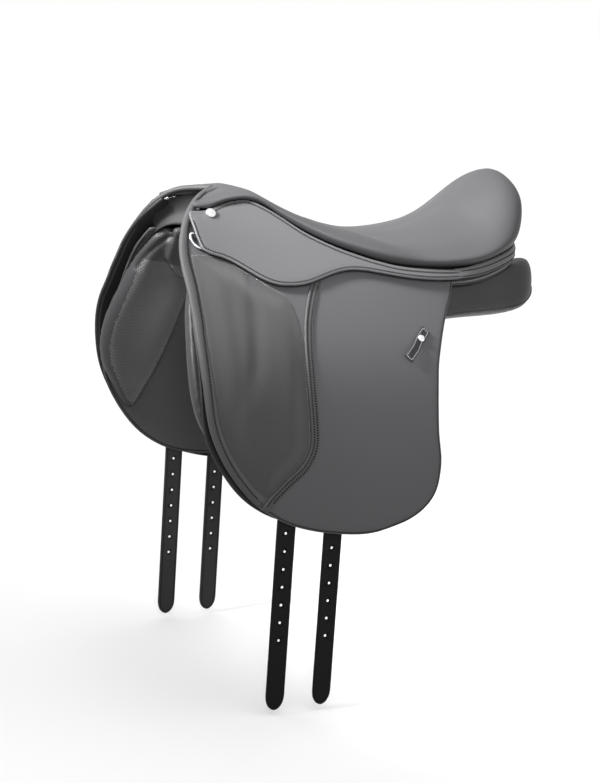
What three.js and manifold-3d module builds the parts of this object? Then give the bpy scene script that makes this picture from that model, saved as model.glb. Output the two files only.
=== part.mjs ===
// English dressage saddle, general-purpose library part.
// Millimetres. +X towards the horse's head, +Y the near (left) side, +Z up.
// Origin: on the line of the horse's spine, straight below the deepest point of the seat.
import * as THREE from 'three';
import { mergeVertices } from 'three/addons/utils/BufferGeometryUtils.js';
import Module from 'manifold-3d';

const wasm = await Module();
wasm.setup();

// ---------------------------------------------------------------- sizes
const FLAP_T = 5;            // flap leather with its facing
const SKIRT_GAP = 8;         // space between flap and skirt for the stirrup leather
const SKIRT_T = 4;
const SWEAT_GAP = 10;        // flap inner face to sweat flap outer face
const SWEAT_T = 3.5;
const BLOCK_ROOM = 20;       // extra room in front for the knee block
const BILLET_W = 25;
const BILLET_T = 4;
const BILLET_X = [170, 106]; // front and rear billet
const BILLET_TIP = -455;
const BILLET_TOP = 74;
const HOLE_PITCH = 22.8;
const HOLE_R = 2.7;
const HOLES = 12;
const FLAP_LINE = 58;        // height of the flap's bend line
const SEAT_FOAM = 16;        // seat thickness over the tree at the waist
const TREE_T = 8;
const G = 0.35;              // working gap between pieces

// ---------------------------------------------------------------- splines
function nspl(xs, ys) {
  const n = xs.length, h = [], al = new Array(n).fill(0);
  for (let i = 0; i < n - 1; i++) h.push(xs[i + 1] - xs[i]);
  for (let i = 1; i < n - 1; i++) al[i] = 3 * ((ys[i + 1] - ys[i]) / h[i] - (ys[i] - ys[i - 1]) / h[i - 1]);
  const l = [1], mu = [0], z = [0], c = new Array(n).fill(0), b = [], d = [];
  for (let i = 1; i < n - 1; i++) {
    l[i] = 2 * (xs[i + 1] - xs[i - 1]) - h[i - 1] * mu[i - 1];
    mu[i] = h[i] / l[i]; z[i] = (al[i] - h[i - 1] * z[i - 1]) / l[i];
  }
  for (let j = n - 2; j >= 0; j--) {
    c[j] = z[j] - mu[j] * c[j + 1];
    b[j] = (ys[j + 1] - ys[j]) / h[j] - h[j] * (c[j + 1] + 2 * c[j]) / 3;
    d[j] = (c[j + 1] - c[j]) / (3 * h[j]);
  }
  return (x) => {
    let j = 0;
    if (x <= xs[0]) { const t = x - xs[0]; return ys[0] + b[0] * t; }
    if (x >= xs[n - 1]) {
      const t = h[n - 2]; const s = b[n - 2] + 2 * c[n - 2] * t + 3 * d[n - 2] * t * t;
      return ys[n - 1] + s * (x - xs[n - 1]);
    }
    while (j < n - 2 && x > xs[j + 1]) j++;
    const t = x - xs[j];
    return ys[j] + b[j] * t + c[j] * t * t + d[j] * t * t * t;
  };
}

// outer face of the flap: half width y for a given x and height z
const FZ = [-250, -150, -90, -45, 5, 30, 64, 100, 126, 150];
const FF = nspl(FZ, [190, 192, 192, 189, 170, 152, 125, 92, 70, 48]);
const FR = nspl(FZ, [192, 193, 190, 184, 168, 156, 138, 116, 100, 84]);
const smooth = (w) => { const t = Math.min(1, Math.max(0, w)); return t * t * (3 - 2 * t); };
const F = (x, z) => { const w = smooth((290 - x) / 330); return FF(z) * (1 - w) + FR(z) * w; };
const bump = (x, z) => BLOCK_ROOM * Math.exp(-(((x - 255) / 50) ** 2)) * Math.exp(-(((z - 5) / 70) ** 2));
const SW = (x, z) => F(x, z) - FLAP_T - SWEAT_GAP - bump(x, z);   // outer face of the sweat flap

// ---------------------------------------------------------------- mesh tools
function toGeo(verts, tris) {
  const g = new THREE.BufferGeometry();
  g.setAttribute('position', new THREE.Float32BufferAttribute(verts.flat(), 3));
  g.setIndex(tris.flat());
  return g;
}
function weld(geo, tol = 1e-3) {
  geo.deleteAttribute('normal'); geo.deleteAttribute('uv');
  const g = mergeVertices(geo, tol);
  const idx = g.index.array, out = [];
  for (let i = 0; i < idx.length; i += 3) {
    const [a, b, c] = [idx[i], idx[i + 1], idx[i + 2]];
    if (a !== b && b !== c && a !== c) out.push(a, b, c);
  }
  g.setIndex(out);
  return g;
}
function volume(geo) {
  const p = geo.attributes.position.array, idx = geo.index.array; let v = 0;
  for (let i = 0; i < idx.length; i += 3) {
    const a = idx[i] * 3, b = idx[i + 1] * 3, c = idx[i + 2] * 3;
    v += p[a] * (p[b + 1] * p[c + 2] - p[b + 2] * p[c + 1]) - p[a + 1] * (p[b] * p[c + 2] - p[b + 2] * p[c]) + p[a + 2] * (p[b] * p[c + 1] - p[b + 1] * p[c]);
  }
  return v / 6;
}
function orient(geo) {
  if (volume(geo) >= 0) return geo;
  const idx = Array.from(geo.index.array);
  for (let i = 0; i < idx.length; i += 3) { const t = idx[i]; idx[i] = idx[i + 1]; idx[i + 1] = t; }
  geo.setIndex(idx);
  return geo;
}
function mirrorY(geo) {
  const g = geo.clone(); const p = g.attributes.position;
  for (let i = 0; i < p.count; i++) p.setY(i, -p.getY(i));
  return orient(g);
}
function toMan(geo) {
  const g = orient(weld(geo.index ? geo : mergeVertices(geo)));
  return new wasm.Manifold(new wasm.Mesh({ numProp: 3, vertProperties: new Float32Array(g.attributes.position.array), triVerts: new Uint32Array(g.index.array) }));
}
function fromMan(m) {
  const q = m.getMesh(); const g = new THREE.BufferGeometry();
  const n = q.vertProperties.length / q.numProp, pos = new Float32Array(n * 3);
  for (let i = 0; i < n; i++) for (let k = 0; k < 3; k++) pos[i * 3 + k] = q.vertProperties[i * q.numProp + k];
  g.setAttribute('position', new THREE.BufferAttribute(pos, 3));
  g.setIndex(Array.from(q.triVerts));
  return g;
}
// rings of equal length, closed round the ring; caps at both ends unless the chain itself closes
function rings(R, loop = false) {
  const n = R[0].length, verts = R.flat(), tris = [];
  const m = R.length, last = loop ? m : m - 1;
  for (let i = 0; i < last; i++) {
    const a = i * n, b = ((i + 1) % m) * n;
    for (let j = 0; j < n; j++) {
      const k = (j + 1) % n;
      tris.push([a + j, a + k, b + k], [a + j, b + k, b + j]);
    }
  }
  if (!loop) {
    for (const [base, flip] of [[0, true], [(m - 1) * n, false]]) {
      const c = [0, 0, 0];
      for (let j = 0; j < n; j++) for (let k = 0; k < 3; k++) c[k] += verts[base + j][k] / n;
      verts.push(c); const ci = verts.length - 1;
      for (let j = 0; j < n; j++) { const k = (j + 1) % n; tris.push(flip ? [ci, base + k, base + j] : [ci, base + j, base + k]); }
    }
  }
  return orient(weld(toGeo(verts, tris)));
}
// solid between two grids of points of the same size
function gridSolid(U, L) {
  const m = U.length, n = U[0].length, verts = [...U.flat(), ...L.flat()], tris = [], o = m * n;
  const q = (a, b, c, d) => tris.push([a, b, c], [a, c, d]);
  for (let i = 0; i < m - 1; i++) for (let j = 0; j < n - 1; j++) {
    const a = i * n + j, b = a + n, c = b + 1, d = a + 1;
    q(a, b, c, d); q(o + d, o + c, o + b, o + a);
  }
  for (let i = 0; i < m - 1; i++) { const a = i * n, b = a + n, e = n - 1; q(o + a, o + b, b, a); q(a + e, b + e, o + b + e, o + a + e); }
  for (let j = 0; j < n - 1; j++) { const e = (m - 1) * n; q(j, j + 1, o + j + 1, o + j); q(e + j + 1, e + j, o + e + j, o + e + j + 1); }
  return orient(weld(toGeo(verts, tris)));
}
// straight prism: outline in the XZ plane, run along Y
function prismXZ(pts, y0 = -400, y1 = 400) {
  const v = pts.map((p) => new THREE.Vector2(p[0], p[1]));
  if (THREE.ShapeUtils.area(v) < 0) v.reverse();
  const f = THREE.ShapeUtils.triangulateShape(v, []), n = v.length, verts = [], tris = [];
  for (const p of v) verts.push([p.x, y0, p.y]);
  for (const p of v) verts.push([p.x, y1, p.y]);
  for (const t of f) { tris.push([t[0], t[1], t[2]]); tris.push([n + t[2], n + t[1], n + t[0]]); }
  for (let i = 0; i < n; i++) { const j = (i + 1) % n; tris.push([i, n + i, n + j], [i, n + j, j]); }
  return orient(weld(toGeo(verts, tris)));
}
const XL = []; for (let x = -140; x <= 320; x += 46) XL.push(x);
const ZL = [-260, -190, -130, -90, -60, -35, -15, 5, 22, 40, 58, 74, 90, 106, 122, 138, 154, 172];
// sheet between two height fields y(x,z), trimmed to an outline in XZ
function slab(outline, yo, yi, xl = XL, zl = ZL, cut = []) {
  const nx = xl.length, nz = zl.length, verts = [], tris = [];
  for (const f of [yo, yi]) for (const x of xl) for (const z of zl) verts.push([x, f(x, z), z]);
  const id = (s, i, j) => s * nx * nz + i * nz + j;
  for (let i = 0; i < nx - 1; i++) for (let j = 0; j < nz - 1; j++) {
    tris.push([id(0, i, j), id(0, i, j + 1), id(0, i + 1, j + 1)], [id(0, i, j), id(0, i + 1, j + 1), id(0, i + 1, j)]);
    tris.push([id(1, i, j), id(1, i + 1, j + 1), id(1, i, j + 1)], [id(1, i, j), id(1, i + 1, j), id(1, i + 1, j + 1)]);
  }
  const edge = (a, b, c, d) => tris.push([a, b, c], [a, c, d]);
  for (let i = 0; i < nx - 1; i++) {
    edge(id(0, i, 0), id(0, i + 1, 0), id(1, i + 1, 0), id(1, i, 0));
    edge(id(0, i + 1, nz - 1), id(0, i, nz - 1), id(1, i, nz - 1), id(1, i + 1, nz - 1));
  }
  for (let j = 0; j < nz - 1; j++) {
    edge(id(0, 0, j + 1), id(0, 0, j), id(1, 0, j), id(1, 0, j + 1));
    edge(id(0, nx - 1, j), id(0, nx - 1, j + 1), id(1, nx - 1, j + 1), id(1, nx - 1, j));
  }
  let m = toMan(toGeo(verts, tris)).intersect(toMan(prismXZ(outline)));
  for (const c of cut) m = m.subtract(c.isMan ? c.m : toMan(c));
  return fromMan(m);
}
const clipTop = (pts, z) => clipHalf(pts, 0, 1, z, false);
const clipBot = (pts, z) => clipHalf(pts, 0, 1, z, true);
// keep the part of a polygon with a*x+b*z >= c (above) or <= c
function clipHalf(pts, a, b, c, above) {
  const s = above ? 1 : -1, d = (p) => s * (a * p[0] + b * p[1] - c), out = [];
  for (let i = 0; i < pts.length; i++) {
    const p = pts[i], q = pts[(i + 1) % pts.length], dp = d(p), dq = d(q);
    if (dp >= 0) out.push(p);
    if ((dp > 0 && dq < 0) || (dp < 0 && dq > 0)) { const t = dp / (dp - dq); out.push([p[0] + t * (q[0] - p[0]), p[1] + t * (q[1] - p[1])]); }
  }
  return out;
}
// move an outline inwards (positive) by a distance
function inset(pts, dist) {
  const area = pts.reduce((s, p, i) => { const q = pts[(i + 1) % pts.length]; return s + p[0] * q[1] - q[0] * p[1]; }, 0);
  const s = area > 0 ? 1 : -1, n = pts.length;
  return pts.map((p, i) => {
    const a = pts[(i + n - 1) % n], b = pts[(i + 1) % n];
    let tx = b[0] - a[0], tz = b[1] - a[1]; const l = Math.hypot(tx, tz) || 1; tx /= l; tz /= l;
    return [p[0] - s * tz * dist, p[1] + s * tx * dist];
  });
}
function cyl(r, p, q, n = 10) {
  const d = new THREE.Vector3(q[0] - p[0], q[1] - p[1], q[2] - p[2]), L = d.length();
  const g = new THREE.CylinderGeometry(r, r, L, n); g.translate(0, L / 2, 0);
  g.applyQuaternion(new THREE.Quaternion().setFromUnitVectors(new THREE.Vector3(0, 1, 0), d.normalize()));
  g.translate(...p);
  return orient(weld(g));
}
// turned piece about an axis through p in direction d; profile [r, h] starts and ends on the axis
function lathe(prof, p, d, n = 10) {
  const g = new THREE.LatheGeometry(prof.map((q) => new THREE.Vector2(q[0], q[1])), n);
  g.applyQuaternion(new THREE.Quaternion().setFromUnitVectors(new THREE.Vector3(0, 1, 0), new THREE.Vector3(...d).normalize()));
  g.translate(...p);
  return orient(weld(g));
}
function normalF(x, z, f = F) {
  const e = 0.5, dx = (f(x + e, z) - f(x - e, z)) / (2 * e), dz = (f(x, z + e) - f(x, z - e)) / (2 * e);
  const v = new THREE.Vector3(-dx, 1, -dz).normalize();
  return [v.x, v.y, v.z];
}

const group = new THREE.Group();
function add(name, geo, color, rough = 0.6, metal = 0) {
  const mesh = new THREE.Mesh(geo, new THREE.MeshStandardMaterial({ color, roughness: rough, metalness: metal }));
  mesh.name = name; group.add(mesh);
}
const SIDES = [['near', 1], ['off', -1]];
function both(name, geo, color, rough, metal) {
  for (const [s, k] of SIDES) add(`${s}_${name}`, k > 0 ? geo : mirrorY(geo), color, rough, metal);
}
const BLACK = 0x1c1c1e, CHAR = 0x3a3b3d, GREY = 0x55565a, STEEL = 0xb8bcc0, CHROME = 0xd9dcdf, WOODY = 0x4b4d50, WEB = 0x2c2c30;

// ---------------------------------------------------------------- seat
// station: welt point W(x,y,z), x of the spine point, then four (run, rise) profile points
const ST = [
  [212, 0, 169, 188, -1, 2.5, 3, 4, 8, 4.6, 14, 5],
  [226, 21, 167, 188, -1, 2.5, 5, 4.5, 13, 5.4, 25, 6.2],
  [244, 41, 160, 187.8, -1, 3, 6, 5.5, 18, 8, 40, 12],
  [260, 56, 151.5, 187.5, -1, 3, 7, 6.5, 22, 11.5, 55, 19],
  [243, 60, 151, 186, -2, 4, 5, 9, 16, 13.5, 40, 19],
  [226, 60, 157, 182, -2, 3.5, 5, 7.5, 16, 10.5, 36, 14.5],
  [208, 60, 161.5, 175, -2, 3, 5, 6, 17, 8.5, 36, 10.5],
  [190, 60, 162, 165, -2, 3.5, 5, 6, 17, 7.5, 36, 8],
  [170, 62, 156, 152, -2, 4, 5, 7, 17, 8, 37, 7.5],
  [150, 70, 144, 135, -3, 5, 5, 9, 18, 10, 42, 10.5],
  [125, 84, 129, 112, -4, 7, 5, 13, 20, 15, 50, 15],
  [95, 99, 115, 85, -5, 8, 5, 16.5, 22, 20, 60, 20],
  [60, 113, 104, 52, -5, 9, 6, 19, 26, 24, 68, 23.5],
  [20, 124, 94.5, 15, -6, 10, 7, 19.5, 30, 23, 75, 24],
  [-25, 130, 90.5, -25, -7, 10, 6, 17, 30, 20, 78, 26],
  [-70, 131, 90.5, -62, -8, 11, 4, 17, 28, 22, 75, 31],
  [-110, 126, 94.5, -92, -9, 15, 0, 21, 24, 26, 66, 36],
  [-145, 114, 103, -108, -10, 20, -3, 30, 20, 36, 58, 41],
  [-172, 95, 109, -116, -10.5, 28, -6, 46, 17, 53, 50, 52],
  [-190, 68, 114, -119.5, -11, 33, -8, 59, 13, 70, 42, 63],
  [-201, 35, 118, -121.5, -11, 35, -9, 63, 10, 80, 38, 71],
  [-205, 0, 119, -122.5, -11, 36, -9, 64, 9, 84, 36, 75],
];
const ZCX = [-195, -175, -150, -122, -90, -60, -30, 0, 20, 60, 100, 140, 165, 185, 200, 212];
const Zc = nspl(ZCX, [201, 194, 178, 158, 139, 127, 121, 120, 121, 127, 139, 156, 167.5, 172.5, 173.5, 171]);
const Zb = nspl([-125, -90, -60, -30, 0, 20, 60, 100, 140, 165, 190], [112, 108, 105, 103, 103, 104.5, 115.5, 133, 150, 158, 162]);
const stD = [0]; for (let i = 1; i < ST.length; i++) stD.push(stD[i - 1] + Math.hypot(ST[i][0] - ST[i - 1][0], ST[i][1] - ST[i - 1][1], ST[i][2] - ST[i - 1][2]));
const stN = stD[stD.length - 1];
const stU = stD.map((d) => d / stN);
function stSpl(col, odd = false) {
  const n = ST.length, u = stU, v = ST.map((r) => r[col]), k = odd ? -1 : 1;
  return nspl([-u[2], -u[1], ...u, 2 - u[n - 2], 2 - u[n - 3]], [k * v[2], k * v[1], ...v, k * v[n - 2], k * v[n - 3]]);
}
const Wx = stSpl(0), Wy = stSpl(1, true), Wz = stSpl(2);
const Cx = (s) => { let i = 0; while (i < ST.length - 2 && s > stU[i + 1]) i++; const t = (s - stU[i]) / (stU[i + 1] - stU[i]); return ST[i][3] + t * (ST[i + 1][3] - ST[i][3]); };
const PR = [4, 5, 6, 7, 8, 9, 10, 11].map((c) => stSpl(c));
function seatRow(s, nt) {
  const W = [Wx(s), s <= 0 || s >= 1 ? 0 : Wy(s), Wz(s)], cx = Cx(s), C = [cx, 0, Zc(cx)];
  let dx = C[0] - W[0], dy = C[1] - W[1]; const L = Math.hypot(dx, dy); dx /= L; dy /= L;
  const q = Math.min(16, 0.16 * L), slope = (Zc(cx + 0.5) - Zc(cx - 0.5)) * dx;
  const pts = [[0, W[2]]];
  for (let k = 0; k < 4; k++) pts.push([PR[2 * k](s), W[2] + PR[2 * k + 1](s)]);
  if (pts[4][0] > L - q - 3) pts.pop();
  pts.push([L - q, C[2] - q * slope], [L, C[2]]);
  const d = [0]; for (let i = 1; i < pts.length; i++) d.push(d[i - 1] + Math.hypot(pts[i][0] - pts[i - 1][0], pts[i][1] - pts[i - 1][1]));
  const T = d[d.length - 1], fr = nspl(d, pts.map((p) => p[0])), fz = nspl(d, pts.map((p) => p[1]));
  const out = [];
  for (let j = 0; j < nt; j++) { const t = T * j / (nt - 1), r = fr(t); out.push([W[0] + dx * r, W[1] + dy * r, fz(t)]); }
  return { W, C, out };
}
// underside of the seat, t = 0 at the welt, 1 on the centreline
function under(s, t, drop = 0) {
  const W = [Wx(s), s <= 0 || s >= 1 ? 0 : Wy(s), Wz(s)], cx = Cx(s), zb = Zb(Math.max(-125, cx));
  const a = Math.sin(t * Math.PI / 2);
  return [W[0] + (cx - W[0]) * t, W[1] * (1 - t), W[2] + (zb - W[2]) * (0.35 * t + 0.65 * a) - drop];
}
function seatGeo() {
  const ns = 30, nt = 10, nu = 4, verts = [], tris = [];
  const top = [], bot = [];
  for (let i = 0; i < ns; i++) {
    const s = i / (ns - 1), r = seatRow(s, nt);
    top.push(r.out);
    const b = []; for (let j = 0; j < nu; j++) b.push(under(s, j / (nu - 1)));
    b[0] = r.out[0].slice(); bot.push(b);
  }
  const put = (grid, flip) => {
    for (const k of [1, -1]) {
      const base = verts.length, n = grid[0].length;
      for (const row of grid) for (const p of row) verts.push([p[0], p[1] * k, p[2]]);
      for (let i = 0; i < grid.length - 1; i++) for (let j = 0; j < n - 1; j++) {
        const a = base + i * n + j, b = a + n, c = b + 1, d = a + 1;
        const t1 = [a, b, c], t2 = [a, c, d];
        for (const t of [t1, t2]) tris.push((k > 0) !== flip ? t : [t[0], t[2], t[1]]);
      }
    }
  };
  put(top, false); put(bot, true);
  return orient(weld(toGeo(verts, tris), 0.02));
}
add('seat', seatGeo(), GREY, 0.55);

// ---------------------------------------------------------------- tree, head plate, webbing
function treeGeo() {
  const S = [], ns = 26, ts = [0.09, 0.3, 0.55, 0.8, 1];
  for (let i = 0; i < ns; i++) S.push(0.13 + (0.985 - 0.13) * i / (ns - 1));
  const full = (h) => [...h, ...[...h].reverse().slice(1).map((p) => [p[0], -p[1], p[2]])];
  const U = [], L = [];
  for (const s of S) {
    const k = 0.2 * (1 - smooth((s - 0.14) / 0.2)), tt = ts.map((t) => t + k * (1 - t));
    U.push(full(tt.map((t) => under(s, t, 1.4)))); L.push(full(tt.map((t) => under(s, t, 1.4 + TREE_T))));
  }
  return gridSolid(U, L);
}
add('tree', treeGeo(), WOODY, 0.7);
// steel head plate, an arch under the front of the tree
function archPlate(x0, x1, drop, t, y1, fall) {
  const row = (x, d) => {
    const out = [];
    for (let i = -6; i <= 6; i++) { const y = y1 * i / 6; out.push([x, y, Zb(Math.min(180, x)) - drop - d - fall * (y / y1) ** 2]); }
    return out;
  };
  return gridSolid([row(x0, 0), row(x1, 0)], [row(x0, t), row(x1, t)]);
}
add('head_plate', archPlate(150, 178, 13.5, 4, 40, 8), STEEL, 0.35, 1);

// ---------------------------------------------------------------- flap
const FLAP = [[262.3, 157.7], [276.4, 136.5], [284.2, 118.9], [289.5, 100.7], [291.4, 83.4], [291.6, 66.4], [292.4, 49], [292.7, 32.1], [294.1, 14.6], [294.4, -2.1], [293.6, -20.9], [291.3, -43], [288, -65.8], [282.6, -89.4], [273, -113.4], [258.9, -138], [239.5, -163.2], [213.2, -189.1], [196.8, -200.1], [179, -210.3], [152.3, -220.4], [124.7, -227.2], [96.9, -231.4], [70.4, -233.3], [48.1, -231.7], [26.1, -226.2], [4, -218.6], [-10.9, -209.8], [-24, -197], [-31.9, -181.9], [-35.2, -162.7], [-35.4, -143.4], [-32.9, -126.7], [-30.1, -111.4], [-28.3, -92.4], [-27.1, -67.5], [-27.3, -43.1], [-28.7, -25.1], [-32.7, -7.5], [-37, 6.5], [-44.1, 24.9], [-49.4, 36.5], [-56.7, 50.4], [-64.9, 68.9]];
// upper edge of the flap, tucked in under the seat
const FLAP_TOP = [[-68, 78], [-25, 80], [20, 84], [60, 93], [95, 104], [125, 118], [150, 133], [170, 145], [190, 151], [208, 151], [226, 147], [243, 143], [256, 144]];
const BAR_WINDOW = [[128, 83], [186, 83], [186, 104], [128, 104]];
const flapOut = (x, z) => F(x, z), flapIn = (x, z) => F(x, z) - FLAP_T;
const flapRootPts = clipBot([...FLAP, ...FLAP_TOP], FLAP_LINE + 1.5);
const flapPts = clipTop([...FLAP, ...FLAP_TOP], FLAP_LINE - 1.5);
both('flap_top', slab(flapRootPts, flapOut, flapIn, XL, ZL, [prismXZ(BAR_WINDOW, 0, 300)]), CHAR);
both('flap', slab(flapPts, flapOut, flapIn), CHAR);

// raised knee pad on the flap, with its upper part above the bend line
const PAD = [[276, 96], [262, 96.5], [250, 96], [231.5, 90.8], [213.3, 80.4], [196.2, 69.9], [177.4, 59.3], [168.6, 56], [162.3, 43.1], [158.8, 22.5], [163, -4.6], [164, -40], [166, -80], [172, -110], [184, -128], [203, -146], [222, -158], [246, -138], [262, -116], [270, -92], [275.5, -66], [278.5, -40], [281, -10], [280.5, 20], [278, 50], [276.5, 75]];
const padH = (x, z) => {
  let d = 1e9;
  for (let i = 0; i < PAD.length; i++) {
    const p = PAD[i], q = PAD[(i + 1) % PAD.length], ux = q[0] - p[0], uz = q[1] - p[1];
    const t = Math.min(1, Math.max(0, ((x - p[0]) * ux + (z - p[1]) * uz) / (ux * ux + uz * uz)));
    d = Math.min(d, Math.hypot(x - p[0] - t * ux, z - p[1] - t * uz));
  }
  return 1.5 + 6.5 * smooth(d / 28);
};
const XP = [150, 164, 178, 194, 212, 230, 248, 264, 284], ZP = [-170, -130, -90, -60, -35, -15, 5, 22, 40, 58, 74, 90, 106];
const padOut = (x, z) => F(x, z) + G + padH(x, z), padIn = (x, z) => F(x, z) + G;
// the inner faces of these slabs follow the same facets as the flap: build them on the flap's own grid
both('knee_pad_upper', slab(clipBot(PAD, FLAP_LINE + 1.5), (x, z) => padOut(x, z) + 0.6, (x, z) => padIn(x, z) + 0.6, XP, ZP), GREY, 0.85);
both('knee_pad', slab(clipTop(PAD, FLAP_LINE - 1.5), (x, z) => padOut(x, z) + 0.6, (x, z) => padIn(x, z) + 0.6, XP, ZP), GREY, 0.85);

// stitched piping band behind the knee pad
const PIPE = [[143.2, 48.3], [150.8, 29.5], [155.4, 12.4], [158, -5.2], [158.5, -24.3], [157.5, -47.7], [155.9, -62.8], [151.9, -95.4], [151.7, -119.5], [156.1, -131.4], [164.5, -143.2], [178.1, -154.6], [190.3, -166.2], [201.1, -177.6]];
function bandOutline(line, w) {
  const n = line.length, L = [], R = [];
  line.forEach((p, i) => {
    const a = line[Math.max(0, i - 1)], b = line[Math.min(n - 1, i + 1)];
    let tx = b[0] - a[0], tz = b[1] - a[1]; const l = Math.hypot(tx, tz); tx /= l; tz /= l;
    L.push([p[0] - tz * w / 2, p[1] + tx * w / 2]); R.push([p[0] + tz * w / 2, p[1] - tx * w / 2]);
  });
  return [...L, ...R.reverse()];
}
both('piping', slab(bandOutline(PIPE.map((p) => [p[0] - 4.5, p[1]]), 9), (x, z) => F(x, z) + 3.2, (x, z) => F(x, z) + 0.9, [130, 170, 210], [-190, -140, ...ZP.slice(2)]), BLACK);

// ---------------------------------------------------------------- skirt
const SK_TOP = [[264.8, 147.5], [254, 146], [243.1, 147.3], [225.6, 152.5], [208.3, 156.5], [194.2, 157], [179.8, 154], [165.3, 147], [149.5, 138], [134.5, 128], [119, 119], [102.7, 111.5], [86.2, 105.5], [69.2, 100.5], [52, 96.5], [34.2, 93], [18.6, 90.5], [-3, 88], [-25.2, 86.5], [-47.6, 86], [-66, 86.5]];
const SK_LOW = [[269.4, 142.6], [267.9, 127.6], [266.1, 115.6], [263.3, 106.6], [257, 103.6], [240.8, 98.6], [225.1, 92], [210, 83.3], [194.8, 75.2], [178.5, 70.1], [160.6, 69.4], [141.8, 71], [121.9, 76.5], [101.7, 82.8], [81.8, 87.3 - 1.2], [63.2, 86.2], [45.1, 84], [21.9, 80], [0.4, 77.5], [-21.8, 75.8], [-44.1, 75.2], [-66, 75.8]];
const SKIRT = [...SK_TOP, ...[...SK_LOW].reverse()];
// fold line of the skirt lobe: a line in XZ through (268,128) and (72,88)
const SKA = -40 / 196, SKC = 128 + SKA * 268;         // z + SKA*x = SKC
const skOut = (x, z) => F(x, z) + SKIRT_GAP + SKIRT_T, skIn = (x, z) => F(x, z) + SKIRT_GAP;
both('skirt_band', slab(clipHalf(SKIRT, SKA, 1, SKC + 0.8, true), skOut, skIn), GREY, 0.5);
both('skirt', slab(clipHalf(SKIRT.filter((p) => p[0] > 60), SKA, 1, SKC - 0.8, false), skOut, skIn), GREY, 0.5);

// band carried on round the cantle
function perimeterBand(s0, s1, n, out0, out1, zt, zb) {
  const R = [];
  const P = (s) => { const e = 0.002; const x = Wx(s), y = s >= 1 ? 0 : Wy(s); let tx = Wx(s + e) - Wx(s - e), ty = (s + e > 1 ? -Wy(2 - s - e) : Wy(s + e)) - Wy(s - e); const l = Math.hypot(tx, ty); tx /= l; ty /= l; return [x, y, Wz(s), ty, -tx]; };
  const half = [];
  for (let i = 0; i <= n; i++) half.push(P(s0 + (s1 - s0) * i / n));
  const all = [...half.map((p) => p), ...[...half].reverse().slice(1).map((p) => [p[0], -p[1], p[2], p[3], -p[4]])];
  for (const [x, y, z, nx, ny] of all) {
    // outward normal of the plan outline
    const k = (nx * (x + 60) + ny * y) > 0 ? 1 : -1;
    const o = (d) => [x + k * nx * d, y + k * ny * d];
    const [a, b] = [o(out0), o(out1)];
    R.push([[a[0], a[1], z + zt], [b[0], b[1], z + zt], [b[0], b[1], z + zb], [a[0], a[1], z + zb]]);
  }
  return rings(R);
}
add('cantle_band', perimeterBand(0.672, 1, 12, 1, 5, -4.2, -15), GREY, 0.5);
add('rear_facing', perimeterBand(0.69, 1, 11, -5, -1.2, -14, -24), BLACK, 0.6);

// ---------------------------------------------------------------- throat binding
const TH = [[262.6, 51, 159.6], [250, 40.5, 166.3], [238, 28, 171], [226, 14.5, 173.2], [218.5, 5, 173.6], [217, 0, 173.4]];
{
  const near = TH.slice(0, -1), all = [...near, TH[TH.length - 1], ...[...near].reverse().map((p) => [p[0], -p[1], p[2]])];
  const R = all.map((p, i) => {
    const a = all[Math.max(0, i - 1)], b = all[Math.min(all.length - 1, i + 1)];
    const t = new THREE.Vector3(b[0] - a[0], b[1] - a[1], b[2] - a[2]).normalize();
    const u = new THREE.Vector3(0, 0, 1).addScaledVector(t, -t.z).normalize(), v = new THREE.Vector3().crossVectors(t, u);
    const out = []; for (let k = 0; k < 8; k++) { const an = k * Math.PI / 4; const q = new THREE.Vector3(...p).addScaledVector(u, 3 * Math.sin(an)).addScaledVector(v, 4 * Math.cos(an)); q.x += 5; out.push([q.x, q.y, q.z]); }
    return out;
  });
  add('throat_binding', rings(R), GREY, 0.55);
}

// ---------------------------------------------------------------- skirt nails
{
  const x = 242, z = 145.5, n = normalF(x, z), y = F(x, z) + SKIRT_GAP + SKIRT_T + 0.6;
  both('skirt_nail', lathe([[0, 0], [6.8, 0], [6.8, 1], [5.4, 3.2], [3, 4.4], [0, 4.8]], [x, y, z], n, 12), CHROME, 0.2, 1);
}

// ---------------------------------------------------------------- dee ring and chape
const DEE_X = 261, DEE_Z = 122, DEE_R = 1.9;
const deeY = F(DEE_X, DEE_Z) + 4;
{
  const path = [], P = (dx, s) => { const n = normalF(DEE_X, 112); const dz = -n[1], dy = n[2]; return [DEE_X + dx, deeY - s * dy * -1 * -1, DEE_Z + s * dz]; };
  const down = normalF(DEE_X, 110), tz = -down[1], ty = down[2];
  const at = (dx, s) => [DEE_X + dx, deeY + s * ty, DEE_Z + s * tz];
  const R = 12;
  path.push(at(-R, 0), at(-4, 0), at(4, 0), at(R, 0));
  for (let k = 0; k <= 8; k++) { const a = Math.PI * k / 8; path.push(at(R * 1.0 * Math.cos(a), 6 + 14 * Math.sin(a))); }
  const n = path.length, axis = new THREE.Vector3(0, -tz, ty);
  const Rg = path.map((p, i) => {
    const a = path[(i + n - 1) % n], b = path[(i + 1) % n];
    const t = new THREE.Vector3(b[0] - a[0], b[1] - a[1], b[2] - a[2]).normalize();
    const u = axis.clone(), v = new THREE.Vector3().crossVectors(t, u).normalize(); u.crossVectors(v, t).normalize();
    const out = []; for (let k = 0; k < 6; k++) { const an = k * Math.PI / 3; out.push(new THREE.Vector3(...p).addScaledVector(u, DEE_R * Math.sin(an)).addScaledVector(v, DEE_R * Math.cos(an)).toArray()); }
    return out;
  });
  both('dee_ring', rings(Rg, true), CHROME, 0.2, 1);
  const ch = slab([[254, 117.5], [268, 117.5], [266, 136], [252, 136]], (x, z) => F(x, z) + 6.9, (x, z) => F(x, z) + 1.1, [240, 254, 268, 280], [106, 114, 122, 130, 138, 146], [cyl(DEE_R + 0.5, [DEE_X - 20, deeY, DEE_Z], [DEE_X + 20, deeY, DEE_Z], 10)]);
  both('dee_chape', ch, BLACK, 0.6);
}

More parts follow.
